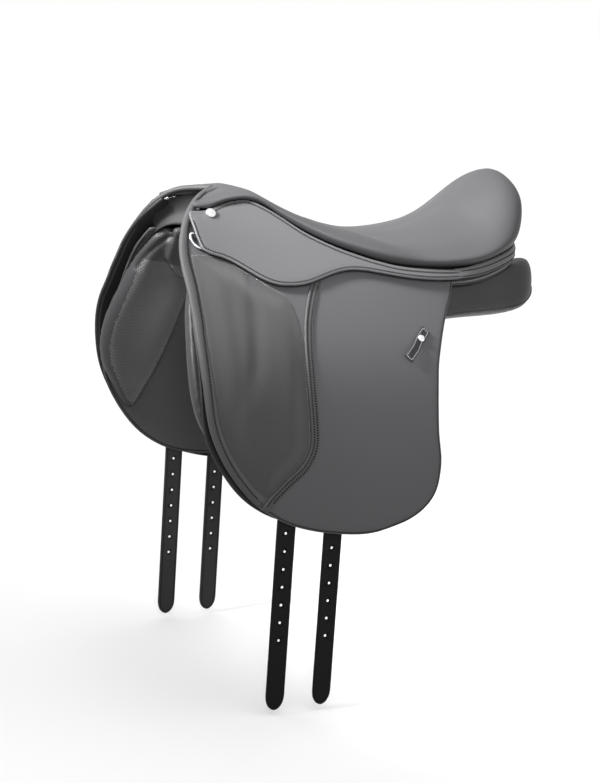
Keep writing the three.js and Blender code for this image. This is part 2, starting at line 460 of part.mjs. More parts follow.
// ---------------------------------------------------------------- stirrup bar
const XB = [100, 114, 128, 150, 170, 190, 212], ZB = [76, 85, 93, 101, 109, 120];
both('stirrup_bar', slab([[125, 90], [127, 89], [186, 89], [189, 86], [197, 86], [205, 90], [205, 102], [197, 107], [189, 107], [186, 97], [127, 97], [125, 96]], (x, z) => F(x, z) + 5, (x, z) => F(x, z) + 1.2, XB, ZB), STEEL, 0.3, 1);
both('bar_catch', slab([[123.8, 92], [123.8, 94], [122.3, 95.2], [120.5, 95.3], [114, 98], [108, 97], [106.5, 93], [109, 90], [118, 89.4], [122, 90.6]], (x, z) => F(x, z) + 4.6, (x, z) => F(x, z) + 1.6, XB, ZB), STEEL, 0.3, 1);
{
  for (const [nm, x, z] of [['bar_rivet_upper', 197, 101.5], ['bar_rivet_lower', 197, 91.5]]) {
    const n = normalF(x, z), y = F(x, z) + 5.2;
    both(nm, lathe([[0, 0], [3, 0], [2.6, 0.7], [1.4, 1.1], [0, 1.2]], [x, y, z], n, 8), STEEL, 0.35, 1);
  }
}

// ---------------------------------------------------------------- flap keeper and stud
{
  const p0 = [-13, 17.5], p1 = [19, -15.5], ux = p1[0] - p0[0], uz = p1[1] - p0[1], L = Math.hypot(ux, uz), tx = ux / L, tz = uz / L, w = 6.2;
  const at = (s, h) => [p0[0] + tx * s - tz * h, p0[1] + tz * s + tx * h];
  const along = (x, z) => (x - p0[0]) * tx + (z - p0[1]) * tz;
  const lift = (x, z) => { const s = along(x, z); return 6 * smooth((s - 19) / 6) * smooth((L - 3 - s) / 6); };
  const xs = [], zs = []; for (let x = -26; x <= 34; x += 7.5) xs.push(x); for (let z = -32; z <= 32; z += 7.5) zs.push(z);
  both('flap_keeper', slab([at(0, -w), at(0, w), at(L, w), at(L, -w)], (x, z) => F(x, z) + 1 + 2.2 + lift(x, z), (x, z) => F(x, z) + 1 + lift(x, z), xs, zs), BLACK, 0.6);
  const c = at(14, 0), n = normalF(c[0], c[1]);
  both('keeper_stud', lathe([[0, 0], [4.4, 0], [4.4, 1], [3.6, 2.3], [1.8, 3], [0, 3.2]], [c[0], F(c[0], c[1]) + 3.9, c[1]], n, 10), CHROME, 0.2, 1);
}

// ---------------------------------------------------------------- sweat flap, knee block
const SWEAT = [[266, 112], [276, 92], [280, 66], [282, 32], [284, -2], [285, -43], [284, -80], [278, -108], [264, -136], [246, -162], [225, -184], [203, -200], [176, -212], [145, -218], [110, -220], [75, -217], [40, -209], [12, -194], [-8, -171], [-16, -142], [-16, -100], [-13, -50], [-14, -10], [-22, 20], [-34, 44], [-30, 56], [20, 62], [60, 68], [95, 73], [125, 77], [150, 80], [190, 84], [215, 96], [240, 110]];
const XS = [-40, 52, 144, 190, 222, 252, 300];
both('sweat_flap', slab(SWEAT, SW, (x, z) => SW(x, z) - SWEAT_T, XS, ZL), BLACK);
const BLOCK = [[262, 84], [271, 60], [274, 30], [274, 0], [270, -30], [262, -58], [250, -78], [238, -70], [230, -40], [227, 0], [228, 40], [236, 70], [248, 86]];
both('knee_block', slab(BLOCK, (x, z) => F(x, z) - FLAP_T - 2 - 0.06 * Math.abs(z - 5), (x, z) => SW(x, z) + 1.2, XS, ZL), CHAR, 0.85);

// ---------------------------------------------------------------- panels
const SWI = (x, z) => SW(x, z) - SWEAT_T;
function panelRing(A, M, B, h, sq = 5) {
  // centreline: quadratic through A, M, B in the yz plane; squared-off lens section
  const n = 8, up = [], lo = [];
  const pt = (t) => [0, 1].map((k) => A[k] * (2 * t - 1) * (t - 1) + M[k] * 4 * t * (1 - t) + B[k] * t * (2 * t - 1));
  for (let i = 0; i < n; i++) {
    const t = 0.5 - 0.5 * Math.cos(Math.PI * i / (n - 1)), p = pt(t), q = pt(t + 0.01), r = pt(t - 0.01);
    let ty = q[0] - r[0], tz = q[1] - r[1]; const l = Math.hypot(ty, tz); ty /= l; tz /= l;
    const hh = h * Math.max(0.3, Math.pow(Math.max(0, 1 - Math.pow(Math.abs(2 * t - 1), sq)), 1 / sq));
    up.push([p[0] - tz * hh, p[1] + ty * hh]); lo.push([p[0] + tz * hh, p[1] - ty * hh]);
  }
  return [...up, ...lo.reverse()];
}
const PST = [
  // x, A(y,z), M(y,z), B(y,z), half thickness
  [-241, [46, 60], [57, 60], [68, 61], 9],
  [-238, [39, 60], [59, 59.5], [79, 61], 18],
  [-231, [33, 60], [61, 59], [88, 61], 27],
  [-220, [31, 60.5], [63, 59], [92, 61], 33.5],
  [-207, [31, 57.5], [66, 55.5], [95, 58.5], 33.5],
  [-170, [33, 51], [74, 46], [108, 51], 33.5],
  [-120, [32, 47], [80, 43.5], [124, 49.5], 34],
  [-60, [32, 46], [82, 40], [128, 46], 31.5],
  [-10, [32, 47], [80, 41], [123, 45], 30],
  [40, [32, 55], [74, 51], [110, 40], 26],
  [80, [32, 72], [70, 69], [104, 44], 24],
  [120, [32, 92], [62, 82], [98, 46], 19],
  [160, [33, 109], [58, 88], [92, 46], 14],
  [200, [33, 120], [58, 90], [89, 45], 10.5],
  [232, [36, 122], [58, 90], [82, 50], 9],
  [256, [40, 120], [55, 98], [68, 74], 7],
];
both('panel', rings(PST.map(([x, A, M, B, h]) => panelRing(A, M, B, h).map((p) => [x, p[0], p[1]]))), BLACK, 0.65);

const LOBE = [[266, 58], [280, 30], [289, -10], [291, -50], [285, -84], [270, -114], [241, -147], [227, -130], [213, -104], [197, -70], [187, -40], [181, -10], [180, 10], [210, 14], [240, 26], [254, 52]];
const lobeH = (x, z) => {
  let d = 1e9;
  for (let i = 0; i < LOBE.length; i++) {
    const p = LOBE[i], q = LOBE[(i + 1) % LOBE.length], ux = q[0] - p[0], uz = q[1] - p[1];
    const t = Math.min(1, Math.max(0, ((x - p[0]) * ux + (z - p[1]) * uz) / (ux * ux + uz * uz)));
    d = Math.min(d, Math.hypot(x - p[0] - t * ux, z - p[1] - t * uz));
  }
  return 3 + 19 * smooth(d / 28);
};
both('thigh_roll', slab(LOBE, (x, z) => SWI(x, z) - 1.8, (x, z) => SWI(x, z) - 1.8 - lobeH(x, z), [176, 190, 207, 222, 237, 252, 262, 272, 282, 300], [-155, -120, -90, -60, -35, -15, 5, 22, 40, 60]), CHAR, 0.85);

// ---------------------------------------------------------------- girth webs and billets
const bilOut = (x, z) => Math.min(F(x, z), 192.5) - FLAP_T - 3, bilIn = (x, z) => bilOut(x, z) - BILLET_T;
both('girth_web', slab([[90, 77], [90, 98], [116, 102], [118, 81.5], [190, 81.5], [192, 110], [206, 112], [206, 77]], bilOut, bilIn), WEB, 0.9);
const ZBL = [-460, -400, ...ZL.slice(0, -3)];
for (const [nm, i] of [['billet_front', 0], ['billet_rear', 1]]) {
  const x = BILLET_X[i], w = BILLET_W / 2;
  const out = [[x - w, BILLET_TOP], [x + w, BILLET_TOP], [x + w, BILLET_TIP + 13], [x + w - 4, BILLET_TIP + 4], [x + 4, BILLET_TIP], [x - 4, BILLET_TIP], [x - w + 4, BILLET_TIP + 4], [x - w, BILLET_TIP + 13]];
  const f = (xx, z) => (z < -230 ? bilOut(x, -230) : bilOut(x, z));
  const holes = [];
  for (let k = 0; k < HOLES; k++) { const z = -364 + k * HOLE_PITCH; holes.push(cyl(HOLE_R, [x, 100, z], [x, 260, z], 6)); }
  both(nm, slab(out, f, (xx, z) => f(xx, z) - BILLET_T, [x - 20, x + 20], ZBL, holes), BLACK, 0.55);
}

group.userData = { name: 'dressage_saddle' };
export default group;
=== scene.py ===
import bpy
import math
import numpy as np
from mathutils import Matrix, Vector
from mathutils.geometry import delaunay_2d_cdt


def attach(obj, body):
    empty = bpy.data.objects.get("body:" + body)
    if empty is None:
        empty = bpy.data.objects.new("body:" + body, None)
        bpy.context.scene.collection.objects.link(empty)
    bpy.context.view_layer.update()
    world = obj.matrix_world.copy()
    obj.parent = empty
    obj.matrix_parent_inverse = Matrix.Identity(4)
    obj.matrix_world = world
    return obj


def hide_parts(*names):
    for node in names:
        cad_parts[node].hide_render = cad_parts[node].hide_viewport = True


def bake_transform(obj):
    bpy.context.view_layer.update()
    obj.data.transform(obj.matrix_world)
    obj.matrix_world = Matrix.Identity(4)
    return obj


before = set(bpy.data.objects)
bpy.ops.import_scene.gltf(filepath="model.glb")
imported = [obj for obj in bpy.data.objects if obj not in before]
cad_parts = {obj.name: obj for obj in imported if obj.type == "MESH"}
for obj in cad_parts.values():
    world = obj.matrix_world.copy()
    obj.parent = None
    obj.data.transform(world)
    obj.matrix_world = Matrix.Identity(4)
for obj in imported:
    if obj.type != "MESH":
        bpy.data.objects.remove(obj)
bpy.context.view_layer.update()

MM = 0.001


# ------------------------------------------------------------------ curves
def nspl(xs, ys):
    """Natural cubic spline through xs (rising) and ys (one or more columns)."""
    xs = np.asarray(xs, float); ys = np.asarray(ys, float)
    one = ys.ndim == 1
    if one: ys = ys[:, None]
    n = len(xs); h = np.diff(xs)
    A = np.zeros((n, n)); B = np.zeros((n, ys.shape[1])); A[0, 0] = A[-1, -1] = 1
    for i in range(1, n - 1):
        A[i, i - 1] = h[i - 1]; A[i, i] = 2 * (h[i - 1] + h[i]); A[i, i + 1] = h[i]
        B[i] = 3 * ((ys[i + 1] - ys[i]) / h[i] - (ys[i] - ys[i - 1]) / h[i - 1])
    c = np.linalg.solve(A, B)
    b = (ys[1:] - ys[:-1]) / h[:, None] - h[:, None] * (c[1:] + 2 * c[:-1]) / 3
    d = (c[1:] - c[:-1]) / (3 * h[:, None])

    def f(x):
        x = np.asarray(x, float); sh = x.shape; x = x.reshape(-1)
        j = np.clip(np.searchsorted(xs, x, side="right") - 1, 0, n - 2)
        t = x - xs[j]
        tc = np.clip(t, 0, h[j])
        v = ys[j] + b[j] * tc[:, None] + c[j] * tc[:, None] ** 2 + d[j] * tc[:, None] ** 3
        s = b[j] + 2 * c[j] * tc[:, None] + 3 * d[j] * tc[:, None] ** 2
        v = v + s * (t - tc)[:, None]
        return v.reshape(sh) if one else v.reshape(sh + (ys.shape[1],))
    return f


def sm(t):
    t = np.clip(t, 0, 1)
    return t * t * (3 - 2 * t)


def through(pts, step, closed=False):
    """Smooth line through points, resampled at about step."""
    p = np.asarray(pts, float)
    keep = np.r_[True, np.linalg.norm(np.diff(p, axis=0), axis=1) > 1e-3]
    p = p[keep]; pts = p
    if closed:
        m = 3
        p = np.concatenate([p[-m:], p, p[:m + 1]])
    d = np.r_[0, np.cumsum(np.linalg.norm(np.diff(p, axis=0), axis=1))]
    f = nspl(d, p)
    if closed:
        a, b = d[3], d[len(pts) + 3]
        n = max(4, int(round((b - a) / step)))
        return f(a + (b - a) * np.arange(n) / n)
    n = max(2, int(round(d[-1] / step)) + 1)
    return f(np.linspace(0, d[-1], n))


def resample(p, step):
    p = np.asarray(p, float)
    d = np.r_[0, np.cumsum(np.linalg.norm(np.diff(p, axis=0), axis=1))]
    n = max(2, int(round(d[-1] / step)) + 1)
    t = np.linspace(0, d[-1], n)
    return np.stack([np.interp(t, d, p[:, k]) for k in range(p.shape[1])], 1)


def join_lines(*lines):
    """Closed outline out of open smooth lines that meet end to end."""
    out = []
    for l in lines:
        l = np.asarray(l, float)
        if out and np.linalg.norm(out[-1] - l[0]) < 0.3:
            l = l[1:]
        out.extend(list(l))
    out = np.array(out)
    if np.linalg.norm(out[0] - out[-1]) < 0.3:
        out = out[:-1]
    return out


def dist_line(P, line, closed=False):
    """Distance from each 2-D point to a line."""
    L = np.asarray(line, float)
    a = L if closed else L[:-1]
    b = np.roll(L, -1, axis=0) if closed else L[1:]
    u = b - a; uu = (u ** 2).sum(1) + 1e-12
    best = np.full(len(P), 1e9)
    for i in range(0, len(P), 2000):
        Q = P[i:i + 2000]
        w = Q[:, None] - a[None]
        t = np.clip((w * u[None]).sum(2) / uu[None], 0, 1)
        e = w - t[..., None] * u[None]
        best[i:i + 2000] = np.sqrt((e ** 2).sum(2)).min(1)
    return best


def inside(P, poly):
    x, z = P[:, 0], P[:, 1]
    r = np.zeros(len(P), bool)
    n = len(poly)
    for i in range(n):
        a, b = poly[i], poly[(i + 1) % n]
        c = (a[1] > z) != (b[1] > z)
        if not c.any(): continue
        xi = (b[0] - a[0]) * (z - a[1]) / (b[1] - a[1] + 1e-15) + a[0]
        r ^= c & (x < xi)
    return r


def area2(p):
    q = np.roll(p, -1, axis=0)
    return 0.5 * (p[:, 0] * q[:, 1] - q[:, 0] * p[:, 1]).sum()


def offset(line, dist, closed=False):
    """2-D line moved to its left by dist."""
    p = np.asarray(line, float)
    if closed:
        t = np.roll(p, -1, axis=0) - np.roll(p, 1, axis=0)
    else:
        t = np.gradient(p, axis=0)
    t /= np.linalg.norm(t, axis=1)[:, None] + 1e-12
    return p + np.stack([-t[:, 1], t[:, 0]], 1) * dist


# ------------------------------------------------------------------ shared surfaces (mm)
FZ = [-250, -150, -90, -45, 5, 30, 64, 100, 126, 150]
FF = nspl(FZ, [190, 192, 192, 189, 170, 152, 125, 92, 70, 48])
FR = nspl(FZ, [192, 193, 190, 184, 168, 156, 138, 116, 100, 84])


def F(x, z):
    w = sm((290 - np.asarray(x, float)) / 330)
    return FF(z) * (1 - w) + FR(z) * w


def bump(x, z):
    return 20 * np.exp(-((x - 255) / 50) ** 2) * np.exp(-((z - 5) / 70) ** 2)


def SW(x, z):
    return F(x, z) - 15 - bump(x, z)


def on(f, xz, h=0.0):
    """Points on the height field y = f(x, z), raised by h along its normal."""
    xz = np.asarray(xz, float); x, z = xz[..., 0], xz[..., 1]; e = 0.5
    y = f(x, z)
    fx = (f(x + e, z) - f(x - e, z)) / (2 * e); fz = (f(x, z + e) - f(x, z - e)) / (2 * e)
    n = np.stack([-fx, np.ones_like(fx), -fz], -1); n /= np.linalg.norm(n, axis=-1)[..., None]
    return np.stack([x, y, z], -1) + n * np.asarray(h)[..., None], n


# ------------------------------------------------------------------ meshes
def make(name, V, faces, mat, smooth=True):
    me = bpy.data.meshes.new(name)
    me.from_pydata([tuple(v) for v in (np.asarray(V, float) * MM)], [], [tuple(int(i) for i in f) for f in faces])
    me.materials.append(mat)
    me.validate()
    o = bpy.data.objects.new(name, me)
    bpy.context.scene.collection.objects.link(o)
    if smooth:
        me.polygons.foreach_set("use_smooth", [True] * len(me.polygons))
    me.update()
    return o


def flip(V, faces):
    V = np.array(V, float); V[:, 1] *= -1
    return V, [tuple(reversed(f)) for f in faces]


def merge(parts):
    V, Fc, n = [], [], 0
    for v, f in parts:
        V.append(np.asarray(v, float)); Fc += [tuple(i + n for i in q) for q in f]; n += len(v)
    return np.concatenate(V), Fc


def sheet2d(outline, rows=(), grid=8.0, extra=(), holes=()):
    """Triangles that fill an outline, with rows of points that follow its edge."""
    out = np.asarray(outline, float)
    if area2(out) < 0: out = out[::-1]
    pts = [out]; edges = [(i, (i + 1) % len(out)) for i in range(len(out))]
    k = len(out)
    for hl in holes:
        pts.append(hl); edges += [(k + i, k + (i + 1) % len(hl)) for i in range(len(hl))]; k += len(hl)
    more = []
    for r in rows:
        q = offset(out, r, True)
        q = q[inside(q, out)]
        q = q[dist_line(q, out, True) > r * 0.93]
        more.append(q)
    for e in extra:
        q = np.asarray(e, float)
        q = q[inside(q, out)]
        q = q[dist_line(q, out, True) > 0.5]
        more.append(q)
    rmax = max(rows) if len(rows) else 0
    lo, hi = out.min(0), out.max(0)
    gx = np.arange(lo[0], hi[0], grid); gz = np.arange(lo[1], hi[1], grid * 0.866)
    g = np.array([(x + (grid / 2 if j % 2 else 0), z) for j, z in enumerate(gz) for x in gx])
    g = g[inside(g, out)]
    g = g[dist_line(g, out, True) > rmax + grid * 0.45]
    if more:
        M = np.concatenate(more)
        if len(M) and len(g):
            keep = np.ones(len(g), bool)
            for i in range(0, len(g), 500):
                dd = ((g[i:i + 500, None] - M[None]) ** 2).sum(2).min(1)
                keep[i:i + 500] = dd > (grid * 0.4) ** 2
            g = g[keep]
    allp = np.concatenate(pts + more + [g])
    # drop near doubles
    key = {}; idx = []
    for i, p in enumerate(allp):
        kk = (round(p[0] / 0.35), round(p[1] / 0.35))
        if i < k or kk not in key:
            key[kk] = 1; idx.append(i)
    allp = allp[idx]
    r = delaunay_2d_cdt([Vector(p) for p in allp], edges, [], 0, 1e-5)
    P = np.array([tuple(v) for v in r[0]], float)
    T = np.array([t for t in r[2] if len(t) == 3], int)
    c = P[T].mean(1)
    ok = inside(c, out)
    for hl in holes:
        ok &= ~inside(c, hl)
    T = T[ok]
    used = np.unique(T); m = -np.ones(len(P), int); m[used] = np.arange(len(used))
    P = P[used]; T = m[T]
    a = (P[T[:, 1], 0] - P[T[:, 0], 0]) * (P[T[:, 2], 1] - P[T[:, 0], 1]) - (P[T[:, 1], 1] - P[T[:, 0], 1]) * (P[T[:, 2], 0] - P[T[:, 0], 0])
    T[a < 0] = T[a < 0][:, ::-1]
    return P, T


def leather(outline, f, thick, top=0.0, rows=(), grid=8.0, extra=(), holes=(), height=None, edge=None, under=None):
    """A leather sheet on the height field f. Its face is at top, its back at top - thick; the edge is rounded."""
    r = thick / 2 if edge is None else edge
    rr = [0.12 * r, 0.4 * r, r] + [q for q in rows if q > r * 1.2]
    P, T = sheet2d(outline, rr, grid, extra, holes)
    out = np.asarray(outline, float)
    d = dist_line(P, out, True)
    for hl in holes:
        d = np.minimum(d, dist_line(P, hl, True))
    rim = d < 0.02
    t = np.clip(d / r, 0, 1); c = np.sqrt(np.clip(1 - (1 - t) ** 2, 0, 1))
    hh = np.zeros(len(P)) if height is None else height(P, d)
    up = top - thick / 2 + (thick / 2 + hh) * c
    uu = np.zeros(len(P)) if under is None else under(P, d)
    dn = top - thick / 2 - (thick / 2 + uu) * c
    A, _ = on(f, P, up); B, _ = on(f, P, dn)
    n = len(P); m = np.arange(n) + n; m[rim] = np.arange(n)[rim]
    # outward (+y) winding for XZ triangles turned anticlockwise is reversed
    faces = [(t_[0], t_[2], t_[1]) for t_ in T] + [(m[t_[0]], m[t_[1]], m[t_[2]]) for t_ in T]
    return np.concatenate([A, B]), faces


def thread(line, normal, pitch=3.4, length=2.5, w=0.55, h=0.4, lift=0.1):
    """Stitches along a 3-D line: one small faceted bead each."""
    w, h, lift = w * 2.5, h * 1.5, lift + 0.1
    p = np.asarray(line, float); nn = np.asarray(normal, float)
    d = np.r_[0, np.cumsum(np.linalg.norm(np.diff(p, axis=0), axis=1))]
    k = max(1, int(d[-1] / pitch)); s = (np.arange(k) + 0.5) * d[-1] / k
    at = lambda q, a: np.stack([np.interp(q, d, a[:, i]) for i in range(3)], 1)
    C = at(s, p); A = at(s + length / 2, p) - at(s - length / 2, p); A /= np.linalg.norm(A, axis=1)[:, None] + 1e-9
    N = at(s, nn); N /= np.linalg.norm(N, axis=1)[:, None]; S = np.cross(A, N)
    C = C + N * lift
    V = np.stack([C - A * length / 2 - N * h * .6, C - A * length * .28 + S * w, C - A * length * .28 + N * h, C - A * length * .28 - S * w,
                  C + A * length * .28 + S * w, C + A * length * .28 + N * h, C + A * length * .28 - S * w, C + A * length / 2 - N * h * .6], 1).reshape(-1, 3)
    q = [(0, 2, 1), (0, 3, 2), (1, 2, 5, 4), (2, 3, 6, 5), (4, 5, 7), (5, 6, 7)]
    faces = [tuple(i + 8 * j for i in f) for j in range(k) for f in q]
    return V, faces


def tube(path, r, n=10, closed=False, flat=1.0, normal=None):
    """Round bar along a path; flat squeezes it along the normal."""
    p = np.asarray(path, float); m = len(p)
    t = (np.roll(p, -1, 0) - np.roll(p, 1, 0)) if closed else np.gradient(p, axis=0)
    t /= np.linalg.norm(t, axis=1)[:, None] + 1e-12
    if normal is None:
        u = np.zeros_like(p); a = np.cross(t[0], [0, 0, 1.]); 
        if np.linalg.norm(a) < .1: a = np.cross(t[0], [1., 0, 0])
        a /= np.linalg.norm(a)
        for i in range(m):
            a = a - t[i] * (a @ t[i]); a /= np.linalg.norm(a); u[i] = a
    else:
        u = np.asarray(normal, float); u = u - t * (u * t).sum(1)[:, None]; u /= np.linalg.norm(u, axis=1)[:, None]
    v = np.cross(t, u)
    rad = np.broadcast_to(np.asarray(r, float), (m,))
    an = np.arange(n) * 2 * math.pi / n
    V = (p[:, None] + rad[:, None, None] * (flat * np.cos(an)[None, :, None] * u[:, None] + np.sin(an)[None, :, None] * v[:, None])).reshape(-1, 3)
    faces = []
    for i in range(m if closed else m - 1):
        a, b = i * n, ((i + 1) % m) * n
        for j in range(n):
            k = (j + 1) % n
            faces.append((a + j, a + k, b + k, b + j))
    V = list(V)
    if not closed:
        V.append(p[0]); V.append(p[-1]); c0, c1 = len(V) - 2, len(V) - 1
        for j in range(n):
            k = (j + 1) % n
            faces.append((c0, k, j)); faces.append((c1, (m - 1) * n + j, (m - 1) * n + k))
    return np.array(V), faces


def lathe(prof, p, d, n=32):
    d = np.array(d, float); d /= np.linalg.norm(d)
    a = np.cross(d, [1., 0, 0]); 
    if np.linalg.norm(a) < .2: a = np.cross(d, [0, 0, 1.])
    a /= np.linalg.norm(a); b = np.cross(d, a)
    an = np.arange(n) * 2 * math.pi / n; V = []; faces = []
    for r, h in prof:
        V += [np.array(p) + d * h + r * (math.cos(q) * a + math.sin(q) * b) for q in an]
    for i in range(len(prof) - 1):
        for j in range(n):
            k = (j + 1) % n
            faces.append((i * n + j, i * n + k, (i + 1) * n + k, (i + 1) * n + j))
    V.append(np.array(p) + d * prof[0][1]); V.append(np.array(p) + d * prof[-1][1])
    for j in range(n):
        k = (j + 1) % n
        faces.append((len(V) - 2, k, j)); faces.append((len(V) - 1, (len(prof) - 1) * n + j, (len(prof) - 1) * n + k))
    return np.array(V), faces


# ------------------------------------------------------------------ materials
def new_mat(name):
    m = bpy.data.materials.new(name); m.use_nodes = True
    nt = m.node_tree; b = nt.nodes["Principled BSDF"]
    return m, nt, b


def grain(nt, b, scale, strength, dist, detail=4.0, kind="noise", scale2=None, strength2=0.0):
    tc = nt.nodes.new("ShaderNodeTexCoord")
    if kind == "voronoi":
        t = nt.nodes.new("ShaderNodeTexVoronoi"); t.feature = "SMOOTH_F1"; t.inputs["Scale"].default_value = scale
        out = t.outputs["Distance"]
    else:
        t = nt.nodes.new("ShaderNodeTexNoise"); t.inputs["Scale"].default_value = scale; t.inputs["Detail"].default_value = detail
        out = t.outputs["Fac"]
    nt.links.new(tc.outputs["Object"], t.inputs["Vector"])
    bp = nt.nodes.new("ShaderNodeBump"); bp.inputs["Strength"].default_value = strength; bp.inputs["Distance"].default_value = dist
    nt.links.new(out, bp.inputs["Height"])
    if scale2:
        t2 = nt.nodes.new("ShaderNodeTexNoise"); t2.inputs["Scale"].default_value = scale2; t2.inputs["Detail"].default_value = 3.0
        nt.links.new(tc.outputs["Object"], t2.inputs["Vector"])
        b2 = nt.nodes.new("ShaderNodeBump"); b2.inputs["Strength"].default_value = strength2; b2.inputs["Distance"].default_value = 0.002
        nt.links.new(t2.outputs["Fac"], b2.inputs["Height"]); nt.links.new(bp.outputs["Normal"], b2.inputs["Normal"])
        bp = b2
    nt.links.new(bp.outputs["Normal"], b.inputs["Normal"])
    return tc


def leather_mat(name, col, rough, scale=900, strength=0.25, spec=0.5, sheen=0.0):
    m, nt, b = new_mat(name)
    b.inputs["Base Color"].default_value = (*col, 1); b.inputs["Roughness"].default_value = rough
    b.inputs["Specular IOR Level"].default_value = spec
    if sheen:
        b.inputs["Sheen Weight"].default_value = sheen; b.inputs["Sheen Roughness"].default_value = 0.5
    grain(nt, b, scale, strength, 0.0004, kind="voronoi", scale2=14, strength2=0.06)
    return m


def suede_mat(name, col, dots=False):
    m, nt, b = new_mat(name)
    b.inputs["Roughness"].default_value = 0.82
    b.inputs["Specular IOR Level"].default_value = 0.3
    b.inputs["Sheen Weight"].default_value = 0.25; b.inputs["Sheen Roughness"].default_value = 0.45
    tc = grain(nt, b, 1500, 0.5, 0.0005, detail=2.0, scale2=30, strength2=0.1)
    n = nt.nodes.new("ShaderNodeTexNoise"); n.inputs["Scale"].default_value = 700; n.inputs["Detail"].default_value = 4
    nt.links.new(tc.outputs["Object"], n.inputs["Vector"])
    cr = nt.nodes.new("ShaderNodeValToRGB")
    cr.color_ramp.elements[0].position = 0.3; cr.color_ramp.elements[1].position = 0.75
    cr.color_ramp.elements[0].color = (col[0] * .86, col[1] * .86, col[2] * .86, 1); cr.color_ramp.elements[1].color = (col[0] * 1.16, col[1] * 1.16, col[2] * 1.16, 1)
    nt.links.new(n.outputs["Fac"], cr.inputs["Fac"])
    src = cr.outputs["Color"]
    if dots:
        sep = nt.nodes.new("ShaderNodeSeparateXYZ"); nt.links.new(tc.outputs["Object"], sep.inputs[0])
        cmb = nt.nodes.new("ShaderNodeCombineXYZ"); nt.links.new(sep.outputs["X"], cmb.inputs["X"]); nt.links.new(sep.outputs["Z"], cmb.inputs["Y"])
        rot = nt.nodes.new("ShaderNodeMapping"); rot.inputs["Rotation"].default_value = (0, 0, math.radians(45)); nt.links.new(cmb.outputs[0], rot.inputs["Vector"])
        v = nt.nodes.new("ShaderNodeTexVoronoi"); v.voronoi_dimensions = "2D"; v.inputs["Randomness"].default_value = 0.0; v.inputs["Scale"].default_value = 330
        nt.links.new(rot.outputs[0], v.inputs["Vector"])
        r2 = nt.nodes.new("ShaderNodeValToRGB"); r2.color_ramp.elements[0].position = 0.2; r2.color_ramp.elements[1].position = 0.32
        r2.color_ramp.elements[0].color = (0.12, 0.12, 0.12, 1); r2.color_ramp.elements[1].color = (1, 1, 1, 1)
        nt.links.new(v.outputs["Distance"], r2.inputs["Fac"])
        mx = nt.nodes.new("ShaderNodeMix"); mx.data_type = "RGBA"; mx.blend_type = "MULTIPLY"; mx.inputs[0].default_value = 1.0
        nt.links.new(src, mx.inputs[6]); nt.links.new(r2.outputs["Color"], mx.inputs[7]); src = mx.outputs[2]
    nt.links.new(src, b.inputs["Base Color"])
    return m


def metal_mat(name, col, rough):
    m, nt, b = new_mat(name)
    b.inputs["Base Color"].default_value = (*col, 1); b.inputs["Metallic"].default_value = 1.0; b.inputs["Roughness"].default_value = rough
    return m


M_SEAT = leather_mat("seat_leather", (0.031, 0.031, 0.0325), 0.5, spec=0.22)
M_SKIRT = leather_mat("smooth_leather", (0.052, 0.052, 0.054), 0.5, spec=0.26)
M_FLAP = leather_mat("flap_leather", (0.039, 0.039, 0.041), 0.52, spec=0.2)
M_BIND = leather_mat("binding_leather", (0.031, 0.031, 0.032), 0.6, spec=0.18)
M_BLACK = leather_mat("black_leather", (0.009, 0.009, 0.0095), 0.5, spec=0.22)
M_PANEL = leather_mat("panel_leather", (0.018, 0.018, 0.019), 0.5, spec=0.22)
# off-side strap leather: the same strap leather painted lighter, as painted light on the off-side billets
M_STRAP_OFF_LIT = leather_mat("strap_leather_off_painted_light", (0.017, 0.017, 0.0175), 0.6, spec=0.15)
M_STRAP = leather_mat("strap_leather", (0.003, 0.003, 0.0032), 0.6, spec=0.1)
M_SUEDE = suede_mat("suede", (0.0185, 0.0185, 0.0192))
# very dark lining leather; on the flap's inner faces and the knee block it also serves as painted shade
M_LINING_SHADE = leather_mat("dark_lining_and_painted_shade", (0.011, 0.011, 0.0115), 0.6, spec=0.15)
M_SWEATIN = leather_mat("sweat_flap_lining", (0.03, 0.03, 0.031), 0.55, spec=0.2)
M_PERF = suede_mat("perforated_suede", (0.044, 0.044, 0.045), dots=True)
M_THREAD = leather_mat("thread", (0.004, 0.004, 0.004), 0.8, spec=0.1)
M_THREADL = leather_mat("thread_light", (0.09, 0.09, 0.095), 0.6)
M_WEB = leather_mat("webbing", (0.012, 0.012, 0.013), 0.8)
M_CHROME = metal_mat("chrome", (0.86, 0.87, 0.88), 0.14)
M_STEEL = metal_mat("steel", (0.55, 0.56, 0.57), 0.32)
M_TREE = leather_mat("tree_shell", (0.012, 0.012, 0.013), 0.6, spec=0.2)

SIDES = (("near", 1), ("off", -1))
BODY = "saddle_body"


def place(name, part, mat, side, k, smooth=True):
    V, f = part
    if k < 0: V, f = flip(V, f)
    return make(f"{side}_{name}", V, f, mat, smooth)


def bend_flap(o):
    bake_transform(o)


def two_tone(o, k, mat):
    """Second material on the faces turned towards the horse."""
    o.data.materials.append(mat)
    n = np.empty(len(o.data.polygons) * 3); o.data.polygons.foreach_get("normal", n)
    o.data.polygons.foreach_set("material_index", (n.reshape(-1, 3)[:, 1] * k < -0.2).astype(int)); o.data.update()


def add_mat(o, mats):
    for m in mats: o.data.materials.append(m)


